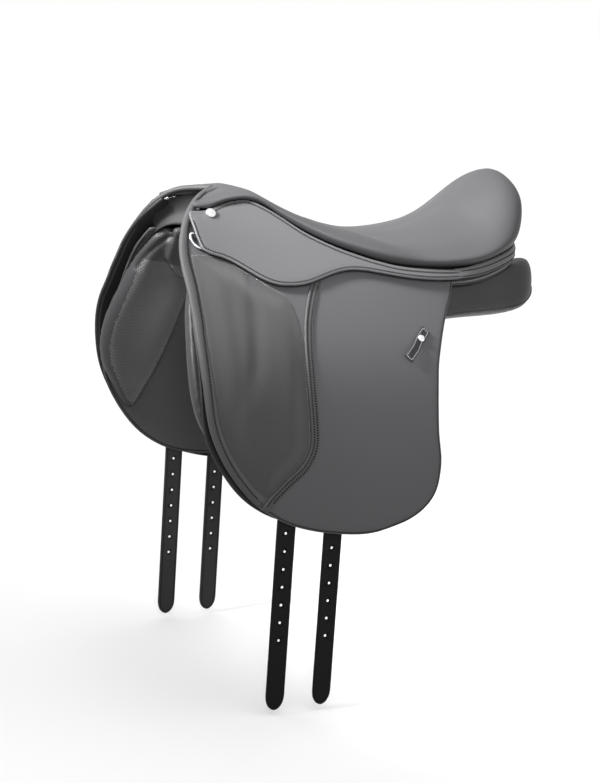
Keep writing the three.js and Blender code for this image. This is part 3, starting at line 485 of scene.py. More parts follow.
# ------------------------------------------------------------------ flap
FRONT = [(261.6, 152.6), (275.2, 134.2), (284.2, 118.9), (289.5, 100.7), (291.4, 83.4), (291.6, 66.4), (292.4, 49), (292.7, 32.1), (294.1, 14.6), (294.4, -2.1), (293.6, -20.9), (291.3, -43), (288, -65.8), (282.6, -89.4), (273, -113.4), (258.9, -138), (239.5, -163.2), (213.2, -189.1)]
LOW = [(213.2, -189.1), (196.8, -200.1), (179, -210.3), (152.3, -220.4), (124.7, -227.2), (96.9, -231.4), (70.4, -233.3), (48.1, -231.7), (26.1, -226.2), (4, -218.6), (-10.9, -209.8), (-24, -197), (-31.9, -181.9), (-35.2, -162.7), (-35.4, -143.4), (-32.9, -126.7), (-30.1, -111.4), (-28.3, -92.4), (-27.1, -67.5), (-27.3, -43.1), (-28.7, -25.1), (-32.7, -7.5), (-37, 6.5), (-44.1, 24.9), (-49.4, 36.5), (-56.7, 50.4), (-64.9, 68.9), (-68, 78)]
TOPE = [(-68, 78), (-25, 80), (20, 84), (60, 93), (95, 104), (125, 118), (150, 133), (170, 145), (190, 151), (208, 152), (226, 151), (243, 147), (254, 149.5), (261.6, 152.6)]
front = through(FRONT + LOW[1:4], 3.0)
n_f = int(np.argmin(np.linalg.norm(front - np.array(FRONT[-1]), axis=1)))
front_full = front[:n_f + 1]
lowl = through(FRONT[-3:-1] + LOW, 3.0)
n_l = int(np.argmin(np.linalg.norm(lowl - np.array(FRONT[-1]), axis=1)))
low_full = lowl[n_l:]; low_full[0] = front_full[-1]
top_full = through(TOPE, 4.0)
FLAP = join_lines(front_full, low_full, top_full)
# binding ends where the lower edge begins
BANDW = 12.0


def flap_height(P, d):
    df = dist_line(P, np.concatenate([front_full, low_full[:3]]))
    tail = sm((P[:, 1] + 196) / 8)
    h = -0.5 * np.exp(-((df - BANDW - 2.6) / 1.0) ** 2) * tail
    dl = dist_line(P, low_full)
    h -= 0.3 * np.exp(-((dl - 2.9) / 0.8) ** 2) * (1 - tail)
    h -= 0.3 * np.exp(-((dl - 2.9) / 0.8) ** 2) * sm((120 - P[:, 0]) / 20)
    return h


def off_rows(line, ds, side=-1):
    return [offset(line, side * d) for d in ds]


bind_rows = off_rows(front_full, (4.2, 6.4, 8.6, 9.4, 10.2, 11.2, 12.0, 12.9, 13.8, 16.0))
sgn = -1
if not inside(bind_rows[0][10:20], FLAP).all():
    sgn = 1; bind_rows = off_rows(front_full, (4.2, 6.4, 8.6, 9.4, 10.2, 11.2, 12.0, 12.9, 13.8, 16.0), 1)
low_rows = off_rows(low_full, (2.1, 2.9, 3.7), sgn)
flap_part = leather(FLAP, F, 5, rows=(), grid=7.0, extra=bind_rows + low_rows, height=flap_height)
st2, n2 = on(F, offset(low_full, sgn * 2.9)[4:-2], 0.0)
flap_thread = merge([thread(st2, n2, 3.0, 2.1, 0.45, 0.35)])
st3, n3 = on(F, offset(front_full, sgn * 14.8)[46:-8], -0.3)
flap_thread2 = thread(st3, n3, 3.2, 2.2, 0.45, 0.3)
for s, k in SIDES:
    # the faces turned towards the horse take the dark lining colour, partly the lining's own tone and partly painted
    # shade under the flap
    o = place("flap_leather", flap_part, M_FLAP, s, k); two_tone(o, k, M_LINING_SHADE)
    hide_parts(f"{s}_flap", f"{s}_flap_top"); bend_flap(o)
    o = place("flap_thread", merge([flap_thread, flap_thread2]), M_THREAD, s, k); bend_flap(o)

# ------------------------------------------------------------------ piping band behind the knee pad
PL = [(128, 76), (133.9, 66.5), (143.2, 48.3), (150.8, 29.5), (155.4, 12.4), (158, -5.2), (158.5, -24.3), (157.5, -47.7), (155.9, -62.8), (151.9, -95.4), (151.7, -119.5), (156.1, -131.4), (164.5, -143.2), (178.1, -154.6), (190.3, -166.2), (201.1, -177.6), (208.1, -187.1), (211.5, -191.5)]
pl = through(PL, 2.5)
ps = 1 if offset(pl, 1.0)[20, 0] < pl[20, 0] else -1
pr = offset(pl, ps * 11.5)
keep = inside(pr, FLAP)
pr = pr[keep]
pipe_out = join_lines(pl, pr[::-1])


def pipe_h(P, d):
    dl = dist_line(P, pl)
    h = 0.9 * np.exp(-((dl - 1.8) / 1.3) ** 2) - 0.45 * np.exp(-((dl - 4.2) / 0.7) ** 2) - 0.45 * np.exp(-((dl - 8.8) / 0.7) ** 2)
    return h


pipe_part = leather(pipe_out, F, 2.2, top=2.3, rows=(), grid=5.0, extra=[offset(pl, ps * q) for q in (1.8, 2.8, 3.6, 4.2, 4.8, 6.5, 8.2, 8.8, 9.4)], height=pipe_h, edge=1.2)
a1, m1 = on(F, offset(pl, ps * 4.2)[2:-3], 2.0); a2, m2 = on(F, offset(pl, ps * 8.8)[2:-6], 2.0)
pipe_thread = merge([thread(a1, m1, 3.2, 2.2, 0.5, 0.35), thread(a2, m2, 3.2, 2.2, 0.5, 0.35)])
for s, k in SIDES:
    o = place("piping_band", pipe_part, M_BIND, s, k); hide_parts(f"{s}_piping"); bend_flap(o)
    o = place("piping_thread", pipe_thread, M_THREAD, s, k); bend_flap(o)

# ------------------------------------------------------------------ knee pad
pad_front = offset(front_full, sgn * 13.6)
pad_front = pad_front[(pad_front[:, 1] < 100) & (pad_front[:, 1] > -178)]
pad_top = through([tuple(pad_front[0]), (262, 98.5), (250.2, 97), (231.5, 91.2), (213.3, 80.8), (196.2, 70.3), (177.4, 60), (168.2, 54), (163, 43.1), (159.6, 24), (159.8, 8), (159.4, -5)], 3.0)
pl_low = pl[(pl[:, 1] < -8)] + np.array([0.9, 0])
pl_low = pl_low[pl_low[:, 1] > -180]
PADO = join_lines(pad_top, pl_low, pad_front[::-1])


def pad_h(P, d):
    x, z = P[:, 0], P[:, 1]
    h = 6.6 * sm(d / 30)
    xv = 212.7 + (48.7 - z) * 0.2
    win = sm((92 - z) / 30) * sm((z + 70) / 60)
    h -= 3.4 * np.exp(-((x - xv) / 10) ** 2) * win
    xv2 = 243 + (60 - z) * 0.05
    h -= 1.7 * np.exp(-((x - xv2) / 8) ** 2) * sm((70 - z) / 40) * sm((z + 130) / 90)
    h += 0.9 * np.exp(-((x - xv - 17) / 9) ** 2) * win
    h += 0.7 * np.exp(-((x - 176) / 12) ** 2) * sm((40 - z) / 50) * sm((z + 110) / 60)
    return h


pad_part = leather(PADO, F, 2.0, top=1.6, rows=(2.5, 5, 9, 14), grid=5.0, height=pad_h, edge=2.2)
for s, k in SIDES:
    o = place("knee_cushion", pad_part, M_SUEDE, s, k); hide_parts(f"{s}_knee_pad", f"{s}_knee_pad_upper"); bend_flap(o)

# ------------------------------------------------------------------ seat
ST = [
    (212, 0, 169, 188, (-1, 2.5), (3, 4), (8, 4.6), (14, 5)),
    (226, 21, 167, 188, (-1, 2.5), (5, 4.5), (13, 5.4), (25, 6.2)),
    (244, 41, 160, 187.8, (-1, 3), (6, 5.5), (18, 8), (40, 12)),
    (260, 56, 151.5, 187.5, (-1, 3), (7, 6.5), (22, 11.5), (55, 19)),
    (243, 60, 151, 186, (-2, 4), (5, 9), (16, 13.5), (40, 19)),
    (226, 60, 157, 182, (-2, 3.5), (5, 7.5), (16, 10.5), (36, 14.5)),
    (208, 60, 161.5, 175, (-2, 3), (5, 6), (17, 8.5), (36, 10.5)),
    (190, 60, 162, 165, (-2, 3.5), (5, 6), (17, 7.5), (36, 8)),
    (170, 62, 156, 152, (-2, 4), (5, 7), (17, 8), (37, 7.5)),
    (150, 70, 144, 135, (-3, 5), (5, 9), (18, 10), (42, 10.5)),
    (125, 84, 129, 112, (-4, 7), (5, 13), (20, 15), (50, 15)),
    (95, 99, 115, 85, (-5, 8), (5, 16.5), (22, 20), (60, 20)),
    (60, 113, 104, 52, (-5, 9), (6, 19), (26, 24), (68, 23.5)),
    (20, 124, 94.5, 15, (-6, 10), (7, 19.5), (30, 23), (75, 24)),
    (-25, 130, 90.5, -25, (-6, 8), (5, 14), (30, 20), (78, 26)),
    (-70, 131, 90.5, -62, (-7, 9), (3, 14), (28, 22), (75, 31)),
    (-110, 126, 94.5, -92, (-7, 10), (2, 16), (26, 26), (66, 36)),
    (-145, 114, 103, -108, (-8, 13), (0, 23), (26, 35), (58, 41)),
    (-172, 95, 109, -116, (-9.5, 22), (-2, 39), (22, 53), (50, 54)),
    (-190, 68, 114, -119.5, (-11, 31), (-7, 56), (15, 70), (42, 65)),
    (-201, 35, 118, -121.5, (-11, 35), (-9, 63), (10, 80), (38, 71)),
    (-205, 0, 119, -122.5, (-11, 36), (-9, 64), (9, 84), (36, 75)),
]
ZCX = [-195, -175, -150, -122, -90, -60, -30, 0, 20, 60, 100, 140, 165, 185, 200, 212]
Zc = nspl(ZCX, [201, 194, 178, 158, 139, 127, 121, 120, 121, 127, 139, 156, 167.5, 172.5, 173.5, 171])
Zb = nspl([-125, -90, -60, -30, 0, 20, 60, 100, 140, 165, 190], [112, 108, 105, 103, 103, 104.5, 115.5, 133, 150, 158, 162])
W_ = np.array([s[:3] for s in ST], float); Cx_ = np.array([s[3] for s in ST], float)
P_ = np.array([[list(q) for q in s[4:]] for s in ST], float).reshape(len(ST), -1)
dS = np.r_[0, np.cumsum(np.linalg.norm(np.diff(W_, axis=0), axis=1))]; dS /= dS[-1]
dE = np.r_[-dS[2], -dS[1], dS, 2 - dS[-2], 2 - dS[-3]]


def ext(A, sg):
    A = np.asarray(A, float); sg = np.array(sg, float)
    return np.concatenate([A[1:3][::-1] * sg, A, A[-3:-1][::-1] * sg])


Wf = nspl(dE, ext(W_, [1, -1, 1])); Cf = lambda s: np.interp(s, dS, Cx_); Pf = nspl(dE, ext(P_, [1] * 8))


def seat_grid(ns, nt):
    s = np.linspace(0, 1, ns); W = Wf(s); W[0, 1] = 0; W[-1, 1] = 0; C = Cf(s); P = Pf(s).reshape(ns, 4, 2); out = np.zeros((ns, nt, 3))
    for i in range(ns):
        c = np.array([C[i], 0, float(Zc(C[i]))]); dv = c[:2] - W[i, :2]; L = np.linalg.norm(dv); dv = dv / L
        slope = float(Zc(C[i] + .5) - Zc(C[i] - .5)) * dv[0]; q = min(16., .16 * L)
        pts = [(0, W[i, 2])] + [(r, W[i, 2] + h) for r, h in P[i]]
        if pts[4][0] > L - q - 3: pts.pop()
        pts = np.array(pts + [(L - q, c[2] - q * slope), (L, c[2])])
        dd = np.r_[0, np.cumsum(np.linalg.norm(np.diff(pts, axis=0), axis=1))]; dd /= dd[-1]
        t = np.linspace(0, 1, nt) ** 1.25
        rz = nspl(dd, pts)(t)
        out[i, :, 0] = W[i, 0] + dv[0] * rz[:, 0]; out[i, :, 1] = W[i, 1] + dv[1] * rz[:, 0]; out[i, :, 2] = rz[:, 1]
    return out


def under(s, t, drop=0.0):
    W = Wf(s); cx = Cf(s); zb = Zb(np.maximum(-125, cx)); a = np.sin(t * np.pi / 2)
    return np.stack([W[..., 0] + (cx - W[..., 0]) * t, W[..., 1] * (1 - t), W[..., 2] + (zb - W[..., 2]) * (.35 * t + .65 * a) - drop], -1)


def weld(V, faces, tol=0.02):
    key = {}; m = np.zeros(len(V), int); out = []
    for i, v in enumerate(V):
        k = tuple(np.round(v / tol).astype(int))
        if k not in key: key[k] = len(out); out.append(v)
        m[i] = key[k]
    f2 = []
    for f in faces:
        g = []
        for i in f:
            j = int(m[i])
            if not g or (g[-1] != j and g[0] != j): g.append(j)
        if len(g) > 2: f2.append(tuple(g))
    return np.array(out), f2


def grid_faces(n, m, base=0, rev=False):
    f = []
    for i in range(n - 1):
        for j in range(m - 1):
            a = base + i * m + j; b = a + m
            q = (a, b, b + 1, a + 1)
            f.append(tuple(reversed(q)) if rev else q)
    return f


ns, nt = 150, 34
G = seat_grid(ns, nt)
ss = np.linspace(0, 1, ns)
U = np.stack([under(ss, np.full(ns, t)) for t in np.linspace(0, 1, 6)], 1); U[:, 0] = G[:, 0]
parts = []
for k in (1, -1):
    g = G.copy(); g[..., 1] *= k; u = U.copy(); u[..., 1] *= k
    parts.append((g.reshape(-1, 3), grid_faces(ns, nt, 0, k < 0)))
    parts.append((u.reshape(-1, 3), grid_faces(ns, 6, 0, k > 0)))
V, f = merge(parts); V, f = weld(V, f)
seat = make("seat_cover", V, f, M_SEAT)
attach(seat, BODY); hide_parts("seat")

# ------------------------------------------------------------------ skirt with the band round the cantle
SKT = [(268.5, 145), (264.8, 148.7), (254, 148.5), (243.1, 150.3), (225.6, 156.4), (208.3, 161.2), (194.2, 162.6), (179.8, 159), (165.3, 151.8), (149.5, 142), (134.5, 132), (119, 123.6), (102.7, 116.6), (86.2, 110.2), (69.2, 105), (52, 100), (34.2, 95.8), (18.6, 92.6), (-3, 90), (-25.2, 88.6), (-47.6, 87.8), (-71, 88)]
SKL = [(268.5, 145), (269.4, 140), (267.9, 127.6), (266.1, 115.6), (263.3, 106.8), (257, 103.4), (240.8, 98.6), (225.1, 92), (210, 83.3), (194.8, 75.2), (178.5, 70.1), (160.6, 69.2), (141.8, 71), (121.9, 76.5), (101.7, 82.8), (81.8, 86.6), (63.2, 86.6), (45.1, 84.4), (21.9, 81), (0.4, 78.4), (-21.8, 76.6), (-44.1, 76), (-71, 77)]


def SK(x, z): return F(x, z) + 12


def perim(s):
    e = 0.002; W = Wf(s); t = Wf(s + e) - Wf(s - e); t[..., 2] = 0; t /= np.linalg.norm(t, axis=-1)[..., None]
    n = np.stack([t[..., 1], -t[..., 0], np.zeros_like(t[..., 0])], -1)
    c = W - np.array([-60, 0, 0]); k = np.sign((n * c).sum(-1)); n = n * k[..., None]
    return W, n


s_b = float(np.interp(66, -Wf(np.linspace(.5, .8, 200))[:, 0], np.linspace(.5, .8, 200)))
sb = np.linspace(s_b, 1, 60); Wb, Nb = perim(sb)
k_b = sm((sb - s_b) / 0.08)
join = float(F(-71, 82)) + 12


def band_curve(dz, o):
    p = Wb + Nb * o; p[:, 2] = Wb[:, 2] + dz
    return p


nv = 26
topc = through(SKT, 4.0); lowc = through(SKL, 4.0)
nu = 120


def arc(p, n):
    d = np.r_[0, np.cumsum(np.linalg.norm(np.diff(p, axis=0), axis=1))]; d /= d[-1]
    t = np.linspace(0, 1, n)
    return np.stack([np.interp(t, d, p[:, i]) for i in range(p.shape[1])], 1)


def skirt_outline():
    return join_lines(through(SKL[1:5], 3.0), through(SKL[4:], 3.0), [SKT[-1]], through(SKT[::-1][:-1], 3.0), through([SKT[1], (267.6, 147.6), SKL[1]], 1.5))


sk_out = skirt_outline()
sk_low = join_lines(through(SKL[1:5], 3.0), through(SKL[4:], 3.0))
sk_low = np.concatenate([through(SKL[1:5], 3.0), through(SKL[4:], 3.0)[1:]])
so = 1 if inside(offset(sk_low, 3.0)[10:40], sk_out).mean() > .5 else -1
sk_top = through(SKT[1:], 3.0)
so2 = 1 if inside(offset(sk_top, 3.0)[10:40], sk_out).mean() > .5 else -1


def skirt_h(P, d):
    dl = dist_line(P, sk_low); dt = dist_line(P, sk_top)
    h = -0.35 * np.exp(-((dl - 2.8) / .7) ** 2)
    h -= 0.35 * np.exp(-((dt - 4.2) / .7) ** 2)
    return h


rear_cut = -71.0
skirt_part = leather(sk_out, SK, 4.0, rows=(), grid=5.0, extra=[offset(sk_low, so * q) for q in (2.1, 2.8, 3.5)] + [offset(sk_top, so2 * q) for q in (3.5, 4.2, 4.9)], height=skirt_h, edge=1.8)
b1, c1 = on(SK, offset(sk_low, so * 2.8)[1:], -0.1); b2, c2 = on(SK, offset(sk_top, so2 * 4.2)[6:], -0.1)
sk_thread = merge([thread(b1, c1, 3.0, 2.1, 0.45, 0.35), thread(b2, c2, 3.0, 2.1, 0.45, 0.35)])
# band round the cantle: section rows from the top edge down
prof = [(0.9, 0.7), (1.0, 3.0), (-0.4, 4.9), (-2.4, 5.7), (-4.2, 5.3), (-5.2, 5.7), (-8.5, 5.9), (-11.2, 5.8), (-12.0, 5.4), (-12.8, 5.7), (-14.0, 5.2), (-14.6, 4.0), (-14.0, 1.4), (-7, 0.9)]
t0 = float(F(-71, 88)) + 12; t1 = float(F(-71, 77)) + 12
z0 = float(Wb[0, 2])
rowsB = []
for dz, o_ in prof:
    p = band_curve(dz, o_)
    # start on the skirt's own rear edge
    v = min(1.0, max(0.0, (-0.6 - dz) / 13.4)); zz = 88 + (77 - 88) * v; yy = t0 + (t1 - t0) * v + (o_ - 5.6)
    tgt = np.array([-66.0, yy + 0.15, zz]); w = (1 - sm(np.arange(len(sb)) / 14.0))[:, None]
    p = p + (tgt - p[0]) * w
    rowsB.append(p)
RB = np.array(rowsB); n_r = RB.shape[0]
RBt = RB.transpose(1, 0, 2)
band_V = RBt.reshape(-1, 3); band_f = []
for i in range(len(sb) - 1):
    for j in range(n_r):
        a = i * n_r + j; b = i * n_r + (j + 1) % n_r; band_f.append((a, a + n_r, b + n_r, b))
bn = Nb.copy()
bth = merge([thread(RB[4][2:-1] + Nb[2:-1] * .1, bn[2:-1], 3.0, 2.1, .45, .35), thread(RB[8][2:-1] + Nb[2:-1] * .1, bn[2:-1], 3.0, 2.1, .45, .35)])
for s, k in SIDES:
    o = place("skirt_leather", skirt_part, M_SKIRT, s, k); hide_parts(f"{s}_skirt", f"{s}_skirt_band")
    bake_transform(o)
    o = place("skirt_thread", sk_thread, M_THREAD, s, k)
    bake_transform(o)
Vb, fb = band_V, band_f
V2, f2 = flip(band_V, band_f)
V, f = merge([(Vb, fb), (V2, f2)]); V, f = weld(V, f)
o = make("cantle_band_leather", V, f, M_SKIRT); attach(o, BODY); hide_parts("cantle_band")
V, f = merge([bth, flip(*bth)]); o = make("cantle_band_thread", V, f, M_THREAD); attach(o, BODY)

# ------------------------------------------------------------------ strip under the cantle band
sr = np.linspace(float(np.interp(60, -Wf(np.linspace(.5, .8, 200))[:, 0], np.linspace(.5, .8, 200))), 1, 60); Wr, Nr = perim(sr)
pr_ = [(-12, -2), (-13, 0.4), (-16, 1.0), (-20, 0.6), (-23.0, 0.2), (-24.6, -0.6), (-25, -2.5), (-20, -5)]
RR = np.array([Wr + Nr * o_ + np.array([0, 0, dz]) for dz, o_ in pr_]).transpose(1, 0, 2); n_r = len(pr_)
rf = []
for i in range(len(sr) - 1):
    for j in range(n_r):
        a = i * n_r + j; b = i * n_r + (j + 1) % n_r; rf.append((a, a + n_r, b + n_r, b))
Vr = RR.reshape(-1, 3)
V, f = merge([(Vr, rf), flip(Vr, rf)]); V, f = weld(V, f)
o = make("rear_facing_leather", V, f, M_BLACK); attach(o, BODY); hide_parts("rear_facing")
rt = merge([thread(RR[1:, 3] + Nr[1:] * .3, Nr[1:], 3.2, 2.2, .5, .35)])
V, f = merge([rt, flip(*rt)]); o = make("rear_facing_thread", V, f, M_THREADL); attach(o, BODY)

# ------------------------------------------------------------------ front binding, from the tip of the flap up over the throat
AW = nspl([-200, -189, -138, -77, -39, 0, 32, 66, 104, 137, 160, 175], [4.2, 4.3, 4.8, 5.1, 5.5, 6.0, 6.6, 7.2, 6.4, 5.2, 5.2, 5.2])
ff = front_full[front_full[:, 1] < 119]
t_ = np.gradient(ff, axis=0); t_ /= np.linalg.norm(t_, axis=1)[:, None]
in_ = np.stack([-t_[:, 1], t_[:, 0]], 1) * sgn
bc = ff + in_ * (AW(ff[:, 1]) - 0.2)[:, None]
bp, bnn = on(F, bc, -1.5)
topp = np.array([(213.2, 0.6, 169.0), (219, 8, 168.6), (227, 18.5, 167.2), (238, 31.5, 164.8), (249, 42.0, 160.4), (257.5, 49.5, 153.8), (265.0, 56.0, 145.4), (271.6, 63.5, 135.4)])
raw = np.concatenate([topp, bp[::3], bp[-1:]])
pn = through(raw, 2.5)
fair = sm((pn[:, 2] - 88) / 20) * sm((172 - pn[:, 2]) / 14)
for _ in range(25):
    pn[1:-1] += (0.5 * fair[1:-1])[:, None] * (0.5 * (pn[:-2] + pn[2:]) - pn[1:-1])
nn_ = []
for q in pn:
    t = sm((q[2] - 112) / 52); nf = on(F, np.array([q[0], min(q[2], 140)]))[1]
    nt_ = np.array([0.15, 0.25, .95]); nrm = nf * (1 - t) + nt_ * t; nn_.append(nrm / np.linalg.norm(nrm))
nn_ = np.array(nn_)
wa = AW(pn[:, 2])
tt_ = np.gradient(pn, axis=0); tt_ /= np.linalg.norm(tt_, axis=1)[:, None]
side_ = np.cross(tt_, nn_); side_ /= np.linalg.norm(side_, axis=1)[:, None]
if side_[len(side_) // 2, 0] > 0: side_ = -side_
up_ = np.cross(side_, tt_); up_ *= np.sign((up_ * nn_).sum(1))[:, None]
an = np.linspace(0, 2 * math.pi, 21)[:-1]
ring = []
for a in an:
    # flattened roll: full towards the front edge, thinner where it is sewn down
    ca, sa = math.cos(a), math.sin(a)
    bb = 3.7 - 0.9 * max(0.0, ca)
    ring.append(pn + side_ * (wa * ca)[:, None] + up_ * (bb * sa - (0.5 if ca > .8 else 0)))
ring = np.array(ring).transpose(1, 0, 2)
m_ = ring.shape[1]; bf_ = []
for i in range(len(pn) - 1):
    for j in range(m_):
        a, b = i * m_ + j, i * m_ + (j + 1) % m_; bf_.append((a, b, b + m_, a + m_))
BVv = np.concatenate([ring.reshape(-1, 3), pn[:1], pn[-1:]]); c0_, c1_ = len(BVv) - 2, len(BVv) - 1
for j in range(m_):
    bf_.append((c0_, (j + 1) % m_, j)); bf_.append((c1_, (len(pn) - 1) * m_ + j, (len(pn) - 1) * m_ + (j + 1) % m_))
vol = 0.0
for q in bf_:
    for i in range(1, len(q) - 1):
        vol += np.dot(BVv[q[0]], np.cross(BVv[q[i]], BVv[q[i + 1]]))
if vol < 0: bf_ = [tuple(reversed(q)) for q in bf_]
ln1 = pn + side_ * (wa * 0.52)[:, None] + up_ * 2.72
ln2 = pn + side_ * (wa * 0.93)[:, None] + up_ * 1.1
bth_ = merge([thread(ln1[4:-4], up_[4:-4], 3.2, 2.2, .5, .35)])
for s, k in SIDES:
    o = place("front_binding", (BVv, bf_), M_BIND, s, k)
    if k > 0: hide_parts("throat_binding")
    bend_flap(o)
    o = place("front_binding_thread", bth_, M_THREAD, s, k); bend_flap(o)

# ------------------------------------------------------------------ lining under the pommel, from the binding down to the panel
LA = through([(206, 2, 163), (214, 13, 162.5), (224, 24, 160), (236, 35, 156), (247, 45, 150), (255, 53, 142), (261, 60, 131), (264, 66, 120)], 3.0)
LB = through([(232, 24, 118), (240, 34, 119), (247, 43, 118), (253, 51, 115), (258, 59, 110), (262, 66, 104), (265, 73, 97), (267, 79, 90)], 3.0)
nl = 40
LA = np.stack([np.interp(np.linspace(0, 1, nl), np.linspace(0, 1, len(LA)), LA[:, i]) for i in range(3)], 1)
LB = np.stack([np.interp(np.linspace(0, 1, nl), np.linspace(0, 1, len(LB)), LB[:, i]) for i in range(3)], 1)
tw = np.linspace(0, 1, 14)[None, :, None]
LS = LA[:, None] * (1 - tw) + LB[:, None] * tw
LS[..., 0] -= 5.0 * np.sin(np.pi * tw[..., 0])
du = np.gradient(LS, axis=0); dv = np.gradient(LS, axis=1); ln_ = np.cross(du, dv); ln_ /= np.linalg.norm(ln_, axis=2)[..., None]
if ln_[20, 7, 0] < 0: ln_ = -ln_
nv = nl * 14
lining_V = np.concatenate([(LS).reshape(-1, 3), (LS - ln_ * 2.2).reshape(-1, 3)])
gf = grid_faces(nl, 14)
q0 = gf[nl * 6]; e1_ = lining_V[q0[1]] - lining_V[q0[0]]; e2_ = lining_V[q0[2]] - lining_V[q0[0]]
rv_ = np.dot(np.cross(e1_, e2_), ln_.reshape(-1, 3)[q0[0]]) < 0
lf = [tuple(reversed(f)) if rv_ else f for f in gf] + [tuple(i + nv for i in (f if rv_ else reversed(f))) for f in gf]
rim = [i * 14 for i in range(nl)] + [(nl - 1) * 14 + j for j in range(1, 14)] + [i * 14 + 13 for i in range(nl - 2, -1, -1)] + [j for j in range(12, 0, -1)]
for a, b in zip(rim, rim[1:] + rim[:1]):
    lf.append((a, b, b + nv, a + nv) if rv_ else (b, a, a + nv, b + nv))
for s, k in SIDES:
    o = place("pommel_lining", (lining_V, lf), M_LINING_SHADE, s, k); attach(o, BODY)

# ------------------------------------------------------------------ sweat flap
SWO = through([(268, 112), (277, 92), (281, 66), (283, 32), (285, -2), (286, -43), (285, -80), (279, -108), (265, -136), (247, -162), (226, -184), (203, -200), (176, -212), (145, -218), (110, -220), (75, -217), (40, -209), (12, -194), (-8, -171), (-16, -142), (-16, -100), (-13, -50), (-14, -10), (-22, 20), (-34, 44), (-30, 56)], 4.0)
SWO = join_lines(SWO, through([(-30, 56), (20, 62), (60, 68), (95, 73), (125, 77), (150, 80), (190, 84), (215, 96), (240, 110), (268, 112)], 5.0))
sweat = leather(SWO, SW, 3.5, rows=(3.2,), grid=9.0, edge=1.6)
swl = offset(SWO[:150], (1 if inside(offset(SWO, 3.0, True)[5:20], SWO).all() else -1) * 3.2)
e1, g1 = on(SW, swl[3:-3], -3.55)
sw_thread = thread(e1, -g1, 3.4, 2.3, .5, .35)
for s, k in SIDES:
    o = place("sweat_flap_leather", sweat, M_BLACK, s, k); two_tone(o, k, M_SWEATIN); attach(o, BODY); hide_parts(f"{s}_sweat_flap")
    o = place("sweat_flap_thread", sw_thread, M_THREAD, s, k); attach(o, BODY)

# ------------------------------------------------------------------ knee block, dark as painted shade in the gap between flap and sweat flap
BLK = through([(262, 84), (271, 60), (274, 30), (274, 0), (270, -30), (262, -58), (250, -78), (238, -70), (230, -40), (227, 0), (228, 40), (236, 70), (248, 86)], 4.0, True)
MID = lambda x, z: 0.5 * ((F(x, z) - 7) + (SW(x, z) + 1.2))


def blk_h(P, d):
    half = 0.5 * ((F(P[:, 0], P[:, 1]) - 7) - (SW(P[:, 0], P[:, 1]) + 1.2))
    return np.maximum(0, half - 1) * sm(d / 9)


blk = leather(BLK, MID, 2.0, top=1.0, rows=(3, 6, 9), grid=6.0, height=blk_h, under=blk_h, edge=1.5)
for s, k in SIDES:
    # the knee block takes the dark lining colour as painted shade in the gap
    o = place("knee_block_pad", blk, M_LINING_SHADE, s, k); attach(o, BODY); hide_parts(f"{s}_knee_block")

# ------------------------------------------------------------------ panel with the thigh roll that it runs into
PST = [
    (-241, (40, 60), (45, 60), (50, 61), 8),
    (-239.5, (37, 60), (45, 60), (53, 61), 13),
    (-237, (35, 60), (46, 59.5), (57, 61), 18),
    (-231, (33, 61), (49, 62), (65, 65), 23),
    (-220, (31, 62), (56, 63), (81, 67), 28),
    (-207, (31, 59), (64, 59.5), (94, 66), 30.5),
    (-170, (33, 52), (74, 51), (107, 60), 30.5),
    (-120, (32, 47), (80, 48.5), (121, 59), 31),
    (-60, (32, 46), (82, 43.5), (126, 53), 29.5),
    (-10, (32, 47), (80, 41), (123, 45), 30),
    (40, (32, 55), (74, 51), (110, 40), 26),
    (80, (32, 72), (70, 69), (104, 44), 24),
    (120, (32, 92), (62, 82), (98, 46), 19),
    (160, (33, 109), (58, 88), (92, 46), 14),
    (200, (33, 120), (58, 90), (89, 45), 10.5),
    (226, (36, 118), (56, 88), (78, 52), 8),
    (244, (40, 112), (54, 92), (66, 72), 6),
]
px = [p[0] for p in PST]; pv = np.array([[*p[1], *p[2], *p[3], p[4]] for p in PST], float)
pf = nspl(px, pv)
xs = np.r_[-241, -240.4, -239.5, -238.3, -237, -234, -231, -226, np.arange(-220, 244, 6), 244]
npan = 20


def pan_ring(v, sq=5):
    A, M, B, h = v[0:2], v[2:4], v[4:6], v[6]
    t = .5 - .5 * np.cos(np.pi * np.arange(npan) / (npan - 1))
    pt = lambda t: A[None] * ((2 * t - 1) * (t - 1))[:, None] + M[None] * (4 * t * (1 - t))[:, None] + B[None] * (t * (2 * t - 1))[:, None]
    p = pt(t); tg = pt(t + .01) - pt(t - .01); tg /= np.linalg.norm(tg, axis=1)[:, None]
    hh = h * np.maximum(.22, np.clip(1 - np.abs(2 * t - 1) ** sq, 0, 1) ** (1 / sq))
    n = np.stack([-tg[:, 1], tg[:, 0]], 1)
    return np.concatenate([p + n * hh[:, None], (p - n * hh[:, None])[::-1]])


rg = []
for x in xs:
    v = pf(np.array([x]))[0]
    q = pan_ring(v, 2.1 + 2.9 * float(sm((x + 236) / 60))); rg.append(np.concatenate([np.full((len(q), 1), x), q], 1))
rg = np.array(rg); nr = rg.shape[1]
pf_ = []
for i in range(len(xs) - 1):
    for j in range(nr):
        a = i * nr + j; b = i * nr + (j + 1) % nr; pf_.append((a, b, b + nr, a + nr))
PV = list(rg.reshape(-1, 3)); PV.append(rg[0].mean(0)); PV.append(rg[-1].mean(0))
for j in range(nr):
    pf_.append((len(PV) - 2, (j + 1) % nr, j)); pf_.append((len(PV) - 1, (len(xs) - 1) * nr + j, (len(xs) - 1) * nr + (j + 1) % nr))
pan = (np.array(PV), pf_)
# leaf-shaped roll that the front of the panel runs into, thickest along its front edge
SWI = lambda x, z: SW(x, z) - 3.5
LOBE = through([(252, 113), (268, 92), (279, 62), (286, 26), (291, -10), (293, -50), (287, -84), (271, -115), (241, -148), (227, -130), (212, -102), (197, -68), (187, -36), (181, 0), (182, 34), (192, 66), (208, 92), (228, 110)], 3.5, True)


